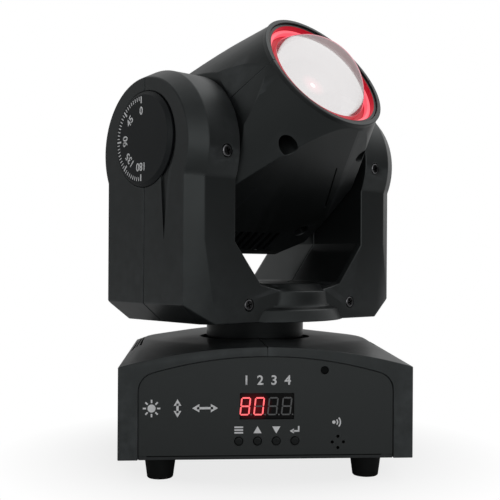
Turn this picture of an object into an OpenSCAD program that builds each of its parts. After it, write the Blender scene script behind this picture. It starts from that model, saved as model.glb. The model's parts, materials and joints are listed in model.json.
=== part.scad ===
// Moving head light: a base, a yoke that pans on the base and a head that tilts in the yoke.
// The origin is on the pan axis at the underside of the base, with the front panel towards -Y.
// The yoke is drawn in its own turned frame, and the head with its optical axis along +Z.

/* [Base] */
// Width of the base
base_w = 156; // [150:1:176]
// Depth of the base
base_d = 170; // [166:1:190]
// Height of the side walls of the base
base_side_h = 48.5; // [47:0.5:56]
// Rise of the arched roof above the side walls
roof_rise = 10.5; // [9:0.5:14]
// Radius of the round deck on the roof
deck_r = 68; // [60:1:70]
// Drop of the round deck below the crown of the roof
deck_drop = 1.8; // [0.5:0.1:3]
// Thickness of the moulded walls
wall = 2.5; // [2:0.1:3]
// Thickness of the bottom plate
plate_t = 2; // [1.5:0.1:3]
// Spacing of the two bracket holes in the bottom plate
bracket_pitch = 50; // [44:1:54]
// Diameter of the bracket holes
bracket_hole_d = 8.4; // [6.4:0.1:8.6]

/* [Feet] */
// Height of the rubber feet
foot_h = 13.2; // [10:0.1:20]
// Diameter of a foot at the base
foot_d = 17.5; // [15:0.5:20]
// Diameter of a foot at the floor
foot_tip_d = 14; // [12:0.5:18]
// Distance of the feet from the middle, sideways
foot_x = 56.4; // [54:0.1:60]
// Distance of the feet from the middle, front to back
foot_y = 65.5; // [60:0.5:68]

/* [Panels] */
// Width of the frame left and right of a panel
panel_border = 10.5; // [9:0.5:14]
// Drop from the crown of the roof to the top of a panel
panel_drop = 5; // [4.8:0.1:8]
// Radius of the arched top of a panel
panel_arch_r = 217; // [180:1:300]
// Radius of the upper corners of a panel
panel_corner_r = 10; // [5:0.5:14]
// Thickness of a panel
panel_t = 2; // [1.5:0.1:3]
// Depth of a panel's face below the frame
panel_sink = 0.9; // [0.4:0.1:1.5]
// Gap between a panel's face and its frame
panel_gap = 0.3; // [0.3:0.1:1]

/* [Display and buttons] */
// Width of the display window
display_w = 28.8; // [24:0.1:34]
// Height of the display window
display_h = 13.8; // [12:0.1:16]
// Height of the middle of the display
display_z = 27.8; // [26:0.1:30]
// Diameter of a button
button_d = 4.5; // [3.5:0.1:5.5]
// Distance from button to button
button_pitch = 9.9; // [9:0.1:11]
// Height of the row of buttons
button_z = 9.5; // [8.5:0.1:11]
// Travel of a button
button_travel = 0.6; // [0.3:0.1:0.8]
// Sideways place of the microphone
mic_x = 37.8; // [34:0.1:42]
// Height of the microphone
mic_z = 8.7; // [8.5:0.1:12]
// Radius of the ring of microphone holes
mic_ring_r = 3; // [2.5:0.1:3.5]
// Diameter of a microphone hole
mic_hole_d = 1.7; // [1:0.1:2]
// Sideways place of the sensor window
sensor_x = 30.6; // [20:0.1:34]
// Height of the sensor window
sensor_z = 46.7; // [44:0.1:47]
// Diameter of the sensor window
sensor_d = 4.4; // [3:0.1:5]

/* [Neck and pan drive] */
// Diameter of the neck that carries the yoke
neck_d = 60; // [56:1:62]
// Gap between the neck and the hole in the roof
neck_gap = 4; // [2:0.5:5]
// Gap between the crown of the roof and the yoke
yoke_lift = 10.8; // [8:0.1:16]
// Diameter of the pan shaft in its bearing
journal_d = 40; // [34:1:44]
// Bore of the pan shaft, for the wires
shaft_bore_d = 26; // [20:1:28]
// Diameter of the pan pulley
pan_pulley_d = 72; // [66:1:76]
// Diameter of the pan motor's pulley
pan_pinion_d = 12; // [10:0.5:14]
// Distance from the pan axis to the pan motor
pan_motor_x = 52; // [51:0.5:53]
// Width of the pan motor
pan_motor_w = 42; // [35:1:43]
// Length of the pan motor's body
pan_motor_h = 28; // [20:1:30]

/* [Yoke] */
// Width of the yoke over both arms
yoke_w = 169; // [164:1:180]
// Depth of the straight part of the yoke
yoke_d = 82.8; // [80:0.2:88]
// Gap between the arms
arm_gap = 104.6; // [104:0.2:108]
// Height of the tilt axis above the underside of the yoke
pivot_h = 102.4; // [101:0.2:110]
// Radius of the round end of an arm
arm_r = 45.1; // [43:0.1:48]
// Radius of the flat outer face of an arm's round end
arm_face_r = 40; // [38:0.1:42]
// Distance of the round end's centre below the tilt axis
arm_round_drop = 5.5; // [2:0.1:7]
// Width of the bevel round an arm's outer face
arm_bevel = 10.5; // [8:0.1:13]
// Depth of the bevel at the front and back of an arm
arm_bevel_d = 5.2; // [3:0.1:6]
// Height of the bevel under an arm
toe_h = 10.9; // [8:0.1:14]
// Width of the bevel under an arm
toe_w = 13.2; // [8:0.1:15]
// Narrowing of the front face towards the bottom, each side
face_taper = 8; // [3:0.1:10]
// Height over which the front face narrows
taper_h = 48; // [35:1:55]
// Thickness of the yoke under the middle of the gap
floor_t = 18.2; // [17.8:0.1:21]
// Width of the curved floor of the gap
floor_w = 66; // [62:1:70]
// Rise of the curved floor from its middle to its edge
floor_sag = 4.8; // [3:0.1:6]
// Height above the underside at which the gap's walls stand upright
gap_wall_h = 46.7; // [44:0.1:50]
// Radius of the foot of the stepped turret under the yoke
turret_r = 54.5; // [52:0.1:58]
// Radius of the upper step of the turret
turret_step_r = 46.6; // [45:0.1:48]
// Radius of the flat top of the turret
turret_top_r = 40.5; // [39:0.1:42]
// Height of the lower step of the turret
turret_low_h = 7; // [6:0.1:8]
// Height of the upper step of the turret
turret_step_h = 17.2; // [16:0.1:18]
// Height of the turret's top
turret_top_h = 21.7; // [21:0.1:22.5]
// Radius of the round cover on an arm
disc_r = 26.7; // [24:0.1:28]
// Width of the tapered groove round the cover
groove_w = 3.2; // [2:0.1:4]
// Depth of the tapered groove
groove_t = 1.2; // [0.6:0.1:1.6]
// Sideways place of the upper screws
screw_top_x = 61.4; // [61:0.1:63]
// Distance of the upper screws below the tilt axis
screw_top_drop = 8.5; // [7:0.1:10]
// Sideways place of the lower screws
screw_low_x = 42; // [40:0.1:44]
// Height of the lower screws above the underside of the yoke
screw_low_h = 10; // [9:0.1:11]

/* [Tilt drive] */
// Diameter of the tilt pulley
tilt_pulley_d = 40; // [36:1:46]
// Diameter of the tilt motor's pulley
tilt_pinion_d = 11; // [9:0.5:14]
// Distance from the tilt axis down to the tilt motor
tilt_motor_drop = 52; // [50:0.5:55]
// Width of the tilt motor
tilt_motor_w = 42; // [35:1:44]
// Diameter of the trunnions in their bearings
trunnion_d = 16; // [14:0.5:18]

/* [Head] */
// Width of the head
head_w = 98; // [94:0.2:99]
// Height of the head
head_h = 82.6; // [82.4:0.2:86]
// Distance from the tilt axis to the front rim
head_front = 71.7; // [70:0.1:76]
// Distance from the tilt axis to the back of the head
head_rear = 50; // [49:0.1:51]
// Outer radius of the front rim
rim_r = 41.1; // [40.6:0.1:41.2]
// Thickness of the front rim
rim_t = 2.6; // [2:0.1:2.8]
// Growth of the head's radius for each millimetre behind the rim
flare = 0.4; // [0.36:0.01:0.46]
// Length of the head's tapered sides
side_taper_l = 32; // [26:0.5:36]
// Length of the bevels at the back of the head
rear_bevel_l = 14; // [10:0.5:15]
// Width of the bevels at the back of the head
rear_bevel_w = 16; // [12:0.5:17]
// Radius of the front lens
lens_r = 31; // [29:0.1:31.4]
// Rise of the front lens
lens_rise = 18.5; // [12:0.1:22]
// Depth of the lens's edge below the rim
lens_depth = 3.7; // [3:0.1:5]
// Diameter of the screw wells under the head
well_d = 9.5; // [8:0.1:10]
// Distance of the front screw wells from the middle
well_x = 31; // [30.5:0.1:33]
// Place of the front screw wells along the head
well_l = 46.6; // [44:0.1:47]
// Diameter of the colour wheel and the pattern wheel
wheel_d = 42; // [38:0.5:43]
// Distance of the wheels' axes from the optical axis
wheel_offset = 15.5; // [15.2:0.1:16.5]
// Width of the cooling fan
fan_w = 60; // [50:1:62]

/* [Pose] */
// Turn of the yoke on the base at rest
pan_rest = 37.7; // [-180:0.1:180]
// Elevation of the head's optical axis at rest
tilt_rest = 35.4; // [0:0.1:90]

/* [Hidden] */
$fn = 64;

// Clearances: a shaft in its bearing, a piece in its opening, and a belt off its pulley
running_fit = 0.05;
piece_fit = 0.2;
press_gap = 0.02;
belt_fit = 0.3;
// Room past a face that a cut goes through
over = 1;

// Colours
charcoal = [0.10, 0.105, 0.11];
panel_black = [0.085, 0.09, 0.095];
rubber_black = [0.06, 0.06, 0.06];
steel = [0.62, 0.63, 0.65];
zinc = [0.75, 0.75, 0.76];
alu = [0.78, 0.79, 0.8];
board_green = [0.08, 0.30, 0.16];
brass_gold = [0.78, 0.62, 0.25];
belt_black = [0.12, 0.12, 0.12];
lens_clear = [0.86, 0.9, 0.94, 0.45];
halo_red = [1, 0.25, 0.32];
window_dark = [0.03, 0.02, 0.02];

// Levels of the base
half_w = base_w / 2;
half_d = base_d / 2;
crown_z = base_side_h + roof_rise;
deck_z = crown_z - deck_drop;
roof_steps = 24;
seam_w = 0.6;
seam_t = 0.7;
vent_count = 3;
vent_l = 62;

// Screws
screw_r = 1.6;
screw_head_r = 3.3;
screw_head_h = 1.8;
post_r = 4;
corner_post_h = 16;
corner_x = half_w - wall - post_r + 0.6;
corner_y = foot_y;
flange_x = foot_x - foot_d / 2 - screw_head_r - 0.4;
flange_w = 9;
flange_h = 1.6;
flange_l = half_d - foot_y - wall - panel_t + flange_w / 2;
foot_well_r = 3.8;
foot_seat = 5;
foot_screw_l = 5;

// Front panel and what sits behind it
open_half = half_w - panel_border;
panel_crown = crown_z - panel_drop;
panel_lap = min(1.8, panel_drop - wall - 0.4);
panel_back = wall + panel_t;
board_gap = 5.5;
board_t = 1.6;
board_left = -38;
board_margin = 8;
board_right = mic_x + board_margin;
board_low = plate_t + 2.5;
board_high = display_z + display_h / 2 + 3;
display_sink = 0.3;
button_rise = 0.9;
button_hole_gap = 0.2;
button_flange_r = button_d / 2 + 1.1;
button_flange_t = 1;
button_stem_r = 1.4;
switch_w = 6;
switch_h = 2.4;
mic_r = mic_ring_r + 1.8;
sensor_flange_r = sensor_d / 2 + 1;
sensor_flange_t = 1;

// Sockets on the rear panel, with places given as seen from behind
socket_z = 26;
inlet_x = -38;
inlet_flange = [50, 25];
inlet_flange_t = 2.5;
inlet_body = [29, 21];
inlet_cavity = [24.4, 16.6];
inlet_body_l = 24;
inlet_depth = 16;
inlet_pin = [2, 4.2];
inlet_pin_l = 10.6;
inlet_pin_pitch = 7;
inlet_earth_rise = 4;
dmx_in_x = 8;
dmx_out_x = 40;
dmx_flange = [26, 31];
dmx_flange_t = 2;
dmx_body_r = 11.6;
dmx_body_l = 20;
dmx_cavity_r = 8;
dmx_depth = 11;
dmx_pin_r = 1.2;
dmx_pin_ring = 4.2;
dmx_pin_l = 9;
dmx_insert_hole_r = 1.5;
dmx_insert_hole_l = 9;

// Pan drive, from the bridge upwards
bridge_t = 2;
bridge_z = 36;
bridge_margin = 10;
bridge_reach = 22;
bridge_half_d = pan_motor_w / 2 + bridge_margin;
bridge_left = -(pan_motor_x + pan_motor_w / 2 - 1);
bridge_right = journal_d / 2 + bridge_reach;
bridge_leg_t = 2;
bridge_flange = 9;
bearing_wall = 8;
bearing_h = 8;
bearing_flange = 3;
bearing_flange_t = 1.5;
pulley_flange = 1.5;
pulley_flange_t = 0.9;
pulley_h = 7;
pan_pulley_z = bridge_z + bridge_t + bearing_flange_t + 1.5;
belt_w = 4.4;
belt_steps = 32;
belt_t = 1.2;
motor_boss_r = 11;
motor_shaft_r = 2.5;
motor_corner = 4;
shaft_low_z = bridge_z + bridge_t - bearing_h - 2;
neck_low_z = pan_pulley_z + pulley_h + 1;
shaft_flange_w = 8;
shaft_flange_r = neck_d / 2 + shaft_flange_w;
shaft_flange_t = 3;

// Power supply and main board on the bottom plate
supply_gap = 4;
seat_gap = 2.5;
supply_left = bridge_right + supply_gap;
supply_right = half_w - wall - 2;
supply_half_l = 44;
supply_h = 30;
supply_y = 4;
supply_vents = 13;
supply_vent_pitch = 6;
supply_vent_w = 2;
supply_vent_t = 1;
supply_vent_edge = 7;
main_board_x = [-flange_x + flange_w / 2 + seat_gap, flange_x - flange_w / 2 - seat_gap];
main_board_gap = 7.4;
main_board_y = [-half_d + panel_back + board_gap + board_t + main_board_gap,
    -bridge_half_d - bridge_flange - 3];
main_board_stand = 6;
stand_r = 2.5;
stand_edge = 4;
chips = 5;
chip_w = 8;
chip_h = 2;
chip_edge = 9;

// Levels of the yoke
yoke_z = crown_z + yoke_lift;
pivot_z = yoke_z + pivot_h;
round_z = pivot_z - arm_round_drop;
half_yoke = yoke_w / 2;
half_yoke_d = yoke_d / 2;
half_gap = arm_gap / 2;
bevel_x = half_yoke - arm_bevel;
strip_top_z = round_z - sqrt(arm_r * arm_r - half_yoke_d * half_yoke_d) + 1.5;
gap_top_z = round_z + 1.25 * arm_r;
floor_steps = 10;
gap_bevel_d = 3;
gap_bevel_h = 2.2;
slice = 0.02;
disc_gap = 0.2;
disc_rise = 2;
disc_bevel = 2;
disc_ledge = 2.5;
disc_depth = 1.6;
groove_top = 85;
groove_turn = 53;
groove_lead = 15;
groove_steps = 16;
groove_tail = disc_r * [
    [-0.61, -0.94], [-0.64, -1.33], [-0.68, -1.76], [-0.72, -2.14], [-0.76, -1.64], [-0.81, -1.10], [-0.86, -0.82]
];
trunnion_neck_r = trunnion_d / 2 + 2;
trunnion_gap = 0.6;
well_head_r = screw_head_r + 0.4;
well_head_t = 1.6;

// Steel frame and bearings in the yoke
frame_t = 2;
frame_gap = 0.3;
frame_x = half_gap + wall + frame_gap;
frame_z = yoke_z + wall + shaft_flange_t;
frame_half_d = 26;
tab_y = 29;
tab_w = 9;
tab_h = 13;
tilt_bearing_wall = 5;
tilt_bearing_w = 7;
housing_wall = 2.5;
housing_x = frame_x + frame_t;
pinion_end = 0.6;
arm_clear = 0.8;
pulley_clear = 1.5;
tilt_pulley_h = 4.6;
tilt_belt_w = 2.6;
trunnion_end = half_yoke - wall - arm_clear;
tilt_pulley_x = trunnion_end - pinion_end - tilt_pulley_h;
tilt_motor_l = tilt_pulley_x - pulley_clear - housing_x;
trunnion_short = housing_x + tilt_bearing_w + 2;

// Head, along its optical axis from the tilt axis
half_head = head_w / 2;
half_head_h = head_h / 2;
rim_straight = 2.5;
cover_l = -head_rear + wall;
optics_l = 16;
optics_t = 2;
cheek_t = 2;
cheek_gap = 3;
cheek_x = half_head - wall - cheek_gap - cheek_t;
cheek_h = 18;
cheek_rear = -14;
trunnion_flange_r = 15;
trunnion_flange_t = cheek_gap - 0.3;
sink_l = -8;
sink_t = 4;
sink_half_h = 30;
fin_count = 9;
fin_t = 1.6;
fin_l = 20;
fin_span = 48;
fan_t = 10;
fan_bore_r = fan_w / 2 - 2;
fan_hub_r = 12;
fan_axle_r = 1.5;
fan_blades = 7;
fan_spoke_w = 4;
fan_spoke_t = 1.6;
fan_room = 0.6;
blade_t = 1.2;
blade_pitch = 38;
tube_r = 24;
tube_wall = 2;
tube_flange_r = 29;
funnel_l = well_l + well_d / 2 + 3;
lens_edge_t = 6;
lens_l = head_front - lens_depth - lens_edge_t;
funnel_end = lens_l - 2;
holder_wall = 3;
holder_r = lens_r + holder_wall;
holder_lip = 0.6;
lens_seat_w = 2;
halo_w = 2.4;
halo_r = holder_r + halo_w;
halo_t = 3;
halo_seat_t = 2;
halo_depth = 4;
halo_l = head_front - halo_depth - halo_t;
bezel_gap = 0.1;
bezel_r = rim_r - rim_t;
bezel_l = 11;
led_w = 32;
led_h = 13;
led_t = 1.6;
emitter_w = 5;
emitter_t = 1.5;
condenser_low_r = 4.4;
condenser_r = 6.8;
condenser_h = 8;
wheel_motor_r = 7.8;
wheel_motor_h = 13;
wheel_axle_r = 1;
wheel_t = 1;
wheel_hub_r = 3;
wheel_holes = 8;
wheel_hole_r = 3.6;
colour_l = sink_l + wheel_motor_h + 1.5;
gobo_l = colour_l + wheel_t + 2;
rear_well_x = 36;
rear_well_l = -24;
well_wall = 1.6;
well_seat = 22;
head_post_r = 4;
head_screw_l = 34;
cover_screw_x = 28;
cover_screw_y = half_head_h - wall - 3.2;
cover_post_l = 10;
cover_post_r = 3.8;
slot_w = 0.9;
slot_t = 1.2;
slot_front = [16, 36.3];
slot_back = [37, 1];
crease_front = [6.2, 67.1];
crease_back = [30.6, 20.8];
crease_lift = 12;
head_vents = 7;
head_vent_w = 3;
head_vent_l = 18;
head_vent_pitch = 6;
grille_bars = 11;
grille_pitch = 5;
grille_slot = 3;
grille_r = fan_w / 2 - 3;

// Frames, and cylinders that lie along an axis
module in_yoke() rotate([0, 0, pan_rest]) children();
module in_head() in_yoke() translate([0, 0, pivot_z]) rotate([90 - tilt_rest, 0, 0]) children();
module at_back() rotate([0, 0, 180]) children();
module four_corners(x, y) for (sx = [-1, 1], sy = [-1, 1]) translate([sx * x, sy * y, 0]) children();
module along_x(x0, x1, r) translate([x0, 0, 0]) rotate([0, 90, 0]) cylinder(r = r, h = x1 - x0);
module along_y(y0, y1, r) translate([0, y1, 0]) rotate([90, 0, 0]) cylinder(r = r, h = y1 - y0);
module ring(r_out, r_in, h) difference() {
    cylinder(r = r_out, h = h);
    translate([0, 0, -over]) cylinder(r = r_in, h = h + 2 * over);
}
module centred_box(w, d, z0, z1) translate([-w / 2, -d / 2, z0]) cube([w, d, z1 - z0]);

// Outline of two pulleys and the straight runs between them, the second at distance d along X
module belt_outline(r1, r2, d) {
    lean = acos((r1 - r2) / d);
    polygon(concat(
        [for (i = [0 : belt_steps]) let (a = lean + (360 - 2 * lean) * i / belt_steps)
            r1 * [cos(a), sin(a)]],
        [for (i = [0 : belt_steps]) let (a = -lean + 2 * lean * i / belt_steps)
            [d + r2 * cos(a), r2 * sin(a)]]));
}
module belt(r1, r2, d, w) linear_extrude(w) difference() {
    belt_outline(r1 + belt_fit + belt_t, r2 + belt_fit + belt_t, d);
    belt_outline(r1 + belt_fit, r2 + belt_fit, d);
}
module flanged_pulley(r, h, bore_r) difference() {
    union() {
        cylinder(r = r, h = h);
        cylinder(r = r + pulley_flange, h = pulley_flange_t);
        translate([0, 0, h - pulley_flange_t]) cylinder(r = r + pulley_flange, h = pulley_flange_t);
    }
    translate([0, 0, -over]) cylinder(r = bore_r, h = h + 2 * over);
}
// A screw with its head's underside at z = 0 and its shank upwards
module screw(l) {
    translate([0, 0, -screw_head_h]) cylinder(r = screw_head_r, h = screw_head_h);
    cylinder(r = screw_r, h = l);
}

// Base: the arched roof and the round deck blend into the upright walls
function arch(hw, side_z, top_z) =
    let (rise = top_z - side_z, r = (hw * hw + rise * rise) / (2 * rise), half = asin(hw / r))
    [for (i = [0 : roof_steps]) let (a = half - 2 * half * i / roof_steps)
        [r * sin(a), top_z - r + r * cos(a)]];
module roof_block(inset, low_z) hull() {
    rotate([90, 0, 0]) linear_extrude(base_d - 2 * inset, center = true)
        polygon(concat(
            [[-(half_w - inset), low_z], [half_w - inset, low_z]],
            arch(half_w - inset, base_side_h - inset, crown_z - inset)));
    translate([0, 0, deck_z - inset - over]) cylinder(r = deck_r - inset / 2, h = over);
}
// Outline of a panel grown by e, as seen from the front
function panel_outline(e, low_z) =
    let (
        hw = open_half + e, top = panel_crown + e, arch_r = panel_arch_r + e, c = panel_corner_r + e,
        corner_z = top - arch_r + sqrt(pow(arch_r - c, 2) - pow(hw - c, 2)),
        lean = atan2(corner_z - (top - arch_r), hw - c),
        right = [for (i = [0 : 6]) let (a = lean * i / 6) [hw - c + c * cos(a), corner_z + c * sin(a)]],
        crest = [for (i = [1 : roof_steps - 1]) let (a = lean + (180 - 2 * lean) * i / roof_steps)
            [arch_r * cos(a), top - arch_r + arch_r * sin(a)]],
        left = [for (i = [6 : -1 : 0]) let (a = lean * i / 6)
            [-(hw - c + c * cos(a)), corner_z + c * sin(a)]]
    )
    concat([[-hw, low_z], [hw, low_z]], right, crest, left);
// A slab of that outline, from depth y0 to depth y1 behind the front of the base
module panel_slab(e, low_z, y0, y1) translate([0, y1 - half_d, 0]) rotate([90, 0, 0])
    linear_extrude(y1 - y0) polygon(panel_outline(e, low_z));
module panel_blank() {
    panel_slab(-panel_gap, plate_t, panel_sink, panel_back);
    panel_slab(panel_lap, plate_t, wall, panel_back);
    for (side = [-1, 1]) difference() {
        translate([side * flange_x - flange_w / 2, panel_back - half_d - slice, plate_t])
            cube([flange_w, flange_l, flange_h]);
        translate([side * flange_x, -foot_y, 0]) cylinder(r = screw_r, h = plate_t + flange_h + over);
    }
}
// A box on the front panel, centred on [x, z], from depth y0 to y1
module panel_box(x, z, size, y0, y1) translate([x - size[0] / 2, y0 - half_d, z - size[1] / 2])
    cube([size[0], y1 - y0, size[1]]);
module panel_pin(x, z, r, y0, y1) translate([x, 0, z]) along_y(y0 - half_d, y1 - half_d, r);

module base_bottom_plate() color(steel) difference() {
    union() {
        centred_box(2 * (half_w - wall - piece_fit), 2 * (half_d - wall - piece_fit), 0, plate_t);
        centred_box(2 * (open_half - panel_gap), 2 * (half_d - panel_sink), 0, plate_t);
    }
    for (side = [-1, 1]) translate([side * bracket_pitch / 2, 0, -over])
        cylinder(d = bracket_hole_d, h = plate_t + 2 * over);
    translate([0, 0, -over]) four_corners(foot_x, foot_y) cylinder(r = screw_r, h = plate_t + 2 * over);
    translate([0, 0, -over]) four_corners(flange_x, foot_y) cylinder(r = screw_r, h = plate_t + 2 * over);
    translate([0, 0, -over]) four_corners(corner_x, corner_y) cylinder(r = screw_r, h = plate_t + 2 * over);
}
module base_cover() color(charcoal) {
    vent_pitch = (half_w - wall - deck_r) / vent_count;
    difference() {
        roof_block(0, 0);
        roof_block(wall, -over);
        cylinder(r = neck_d / 2 + neck_gap, h = crown_z + over);
        for (turn = [0, 180]) rotate([0, 0, turn]) panel_slab(0, -over, -over, wall + over);
        for (side = [-1, 1], i = [0 : vent_count - 1])
            translate([side * (deck_r + (i + 0.5) * vent_pitch) - vent_pitch / 4, -vent_l / 2,
                base_side_h - wall])
                cube([vent_pitch / 2, vent_l, roof_rise + wall + over]);
        translate([-seam_w / 2, -half_d - over, panel_crown - over])
            cube([seam_w, over + seam_t, panel_drop + 2 * over]);
        translate([-seam_w / 2, -half_d - over, crown_z - seam_t])
            cube([seam_w, half_d - neck_d / 2, seam_t + over]);
    }
    difference() {
        four_corners(corner_x, corner_y) translate([0, 0, plate_t]) cylinder(r = post_r, h = corner_post_h);
        four_corners(corner_x, corner_y) cylinder(r = screw_r, h = corner_post_h);
        for (side = [-1, 1]) translate([side * (half_w + over), 0, 0])
            centred_box(2 * over, base_d, 0, crown_z);
    }
}
module front_panel() color(panel_black) difference() {
    union() {
        panel_blank();
        for (x = [board_left + 3, board_right - 3], z = [board_high - 3])
            panel_pin(x, z, 2.2, panel_back - slice, panel_back + board_gap);
    }
    panel_box(0, display_z, [display_w, display_h], 0, panel_back + over);
    for (i = [0 : 3]) panel_pin((i - 1.5) * button_pitch, button_z, button_d / 2 + button_hole_gap, 0,
        panel_back + over);
    for (a = [0 : 90 : 270]) panel_pin(mic_x + mic_ring_r * cos(a), mic_z + mic_ring_r * sin(a),
        mic_hole_d / 2, 0, panel_back + over);
    panel_pin(sensor_x, sensor_z, sensor_d / 2, 0, panel_back + over);
}
module rear_panel() color(panel_black) at_back() difference() {
    panel_blank();
    panel_box(inlet_x, socket_z, inlet_body, 0, panel_back + over);
    for (x = [dmx_in_x, dmx_out_x]) panel_pin(x, socket_z, dmx_body_r + press_gap, 0, panel_back + over);
}
module display_module() color(window_dark)
    panel_box(0, display_z, [display_w - 2 * piece_fit, display_h - 2 * piece_fit],
        panel_sink + display_sink, panel_back + board_gap);
module control_board() color(board_green) {
    translate([board_left, panel_back + board_gap - half_d, board_low])
        cube([board_right - board_left, board_t, board_high - board_low]);
    for (i = [0 : 3]) panel_box((i - 1.5) * button_pitch, button_z, [switch_w, switch_w],
        panel_back + board_gap - switch_h, panel_back + board_gap + slice);
}
module button_cap(i) color(rubber_black) {
    x = (i - 1.5) * button_pitch;
    panel_pin(x, button_z, button_d / 2, panel_sink - button_rise, panel_back + button_flange_t);
    panel_pin(x, button_z, button_flange_r, panel_back + running_fit, panel_back + button_flange_t);
    panel_pin(x, button_z, button_stem_r, panel_back,
        panel_back + board_gap - switch_h - button_travel - piece_fit);
}
module button_menu() button_cap(0);
module button_up() button_cap(1);
module button_down() button_cap(2);
module button_enter() button_cap(3);
module mic_capsule() color(alu) panel_pin(mic_x, mic_z, mic_r, panel_back, panel_back + board_gap);
module sensor_window() color(window_dark) {
    panel_pin(sensor_x, sensor_z, sensor_d / 2 - running_fit, panel_sink + display_sink,
        panel_back + sensor_flange_t);
    panel_pin(sensor_x, sensor_z, sensor_flange_r, panel_back, panel_back + sensor_flange_t);
}

// Sockets on the rear panel
inlet_front = panel_sink - inlet_flange_t;
dmx_front = panel_sink - dmx_flange_t;
module power_inlet() color(rubber_black) at_back() difference() {
    union() {
        panel_box(inlet_x, socket_z, inlet_flange, inlet_front, panel_sink);
        panel_box(inlet_x, socket_z, inlet_body, inlet_front, inlet_body_l);
    }
    panel_box(inlet_x, socket_z, inlet_cavity, inlet_front - over, inlet_front + inlet_depth);
}
module dmx_body(x) {
    panel_box(x, socket_z, dmx_flange, dmx_front, panel_sink);
    panel_pin(x, socket_z, dmx_body_r, dmx_front, dmx_body_l);
}
module dmx_in_socket() color(rubber_black) at_back() difference() {
    dmx_body(dmx_in_x);
    panel_pin(dmx_in_x, socket_z, dmx_cavity_r, dmx_front - over, dmx_front + dmx_depth);
}
module dmx_out_socket() color(rubber_black) at_back() difference() {
    dmx_body(dmx_out_x);
    for (a = [90 : 120 : 330]) panel_pin(dmx_out_x + dmx_pin_ring * cos(a),
        socket_z + dmx_pin_ring * sin(a),
        dmx_insert_hole_r, dmx_front - over, dmx_front + dmx_insert_hole_l);
}
module socket_pins() color(brass_gold) at_back() {
    inlet_end = inlet_front + inlet_depth;
    for (i = [-1 : 1]) panel_box(inlet_x + i * inlet_pin_pitch,
        socket_z + (i == 0 ? inlet_earth_rise : 0) - 2,
        inlet_pin, inlet_end - inlet_pin_l, inlet_end);
    for (a = [90 : 120 : 330]) panel_pin(dmx_in_x + dmx_pin_ring * cos(a), socket_z + dmx_pin_ring * sin(a),
        dmx_pin_r, dmx_front + dmx_depth - dmx_pin_l, dmx_front + dmx_depth);
}
module rubber_feet() color(rubber_black) difference() {
    translate([0, 0, -foot_h]) four_corners(foot_x, foot_y)
        cylinder(d1 = foot_tip_d, d2 = foot_d, h = foot_h);
    translate([0, 0, -foot_h - over]) four_corners(foot_x, foot_y)
        cylinder(r = foot_well_r, h = foot_h - foot_seat + over);
    translate([0, 0, -foot_h]) four_corners(foot_x, foot_y) cylinder(r = screw_r, h = foot_h + over);
}
module base_screws() color(zinc) {
    translate([0, 0, -foot_seat]) four_corners(foot_x, foot_y) screw(foot_seat + plate_t + foot_screw_l);
    four_corners(flange_x, foot_y) screw(plate_t + flange_h);
    four_corners(corner_x, corner_y) screw(corner_post_h - 2);
}
module power_supply() color(zinc) difference() {
    translate([supply_left, supply_y - supply_half_l, plate_t])
        cube([supply_right - supply_left, 2 * supply_half_l, supply_h]);
    for (i = [0 : supply_vents - 1])
        translate([supply_left - over, supply_y + (i - supply_vents / 2 + 0.25) * supply_vent_pitch,
            plate_t + supply_vent_edge])
            cube([over + supply_vent_t, supply_vent_w, supply_h - 2 * supply_vent_edge]);
}
module main_board() color(board_green) {
    w = main_board_x[1] - main_board_x[0];
    d = main_board_y[1] - main_board_y[0];
    top_z = plate_t + main_board_stand;
    chip_pitch = (w - 2 * chip_edge - chip_w) / (chips - 1);
    translate([main_board_x[0], main_board_y[0], top_z]) cube([w, d, board_t]);
    for (x = [stand_edge, w - stand_edge], y = [stand_edge, d - stand_edge])
        translate([main_board_x[0] + x, main_board_y[0] + y, plate_t])
            cylinder(r = stand_r, h = main_board_stand + slice);
    for (i = [0 : chips - 1])
        translate([main_board_x[0] + chip_edge + i * chip_pitch, main_board_y[0] + (d - chip_w) / 2, top_z])
            cube([chip_w, chip_w, board_t + chip_h + i * chip_h / 2]);
}

// Pan drive
module pan_bridge() color(steel) difference() {
    union() {
        translate([bridge_left, -bridge_half_d, bridge_z])
            cube([bridge_right - bridge_left, 2 * bridge_half_d, bridge_t]);
        for (turn = [0, 1]) mirror([0, turn, 0]) {
            translate([bridge_left, bridge_half_d - bridge_leg_t, plate_t])
                cube([bridge_right - bridge_left, bridge_leg_t, bridge_z - plate_t + slice]);
            translate([bridge_left, bridge_half_d - slice, plate_t])
                cube([bridge_right - bridge_left, bridge_flange, bridge_leg_t]);
        }
    }
    cylinder(r = journal_d / 2 + bearing_wall + press_gap, h = crown_z);
    translate([-pan_motor_x, 0, 0]) cylinder(r = motor_boss_r + press_gap, h = crown_z);
}
module pan_bearing() color(zinc) translate([0, 0, bridge_z + bridge_t - bearing_h]) difference() {
    union() {
        cylinder(r = journal_d / 2 + bearing_wall, h = bearing_h + bearing_flange_t);
        translate([0, 0, bearing_h])
            cylinder(r = journal_d / 2 + bearing_wall + bearing_flange, h = bearing_flange_t);
    }
    translate([0, 0, -over]) cylinder(r = journal_d / 2 + running_fit,
        h = bearing_h + bearing_flange_t + 2 * over);
}
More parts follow.
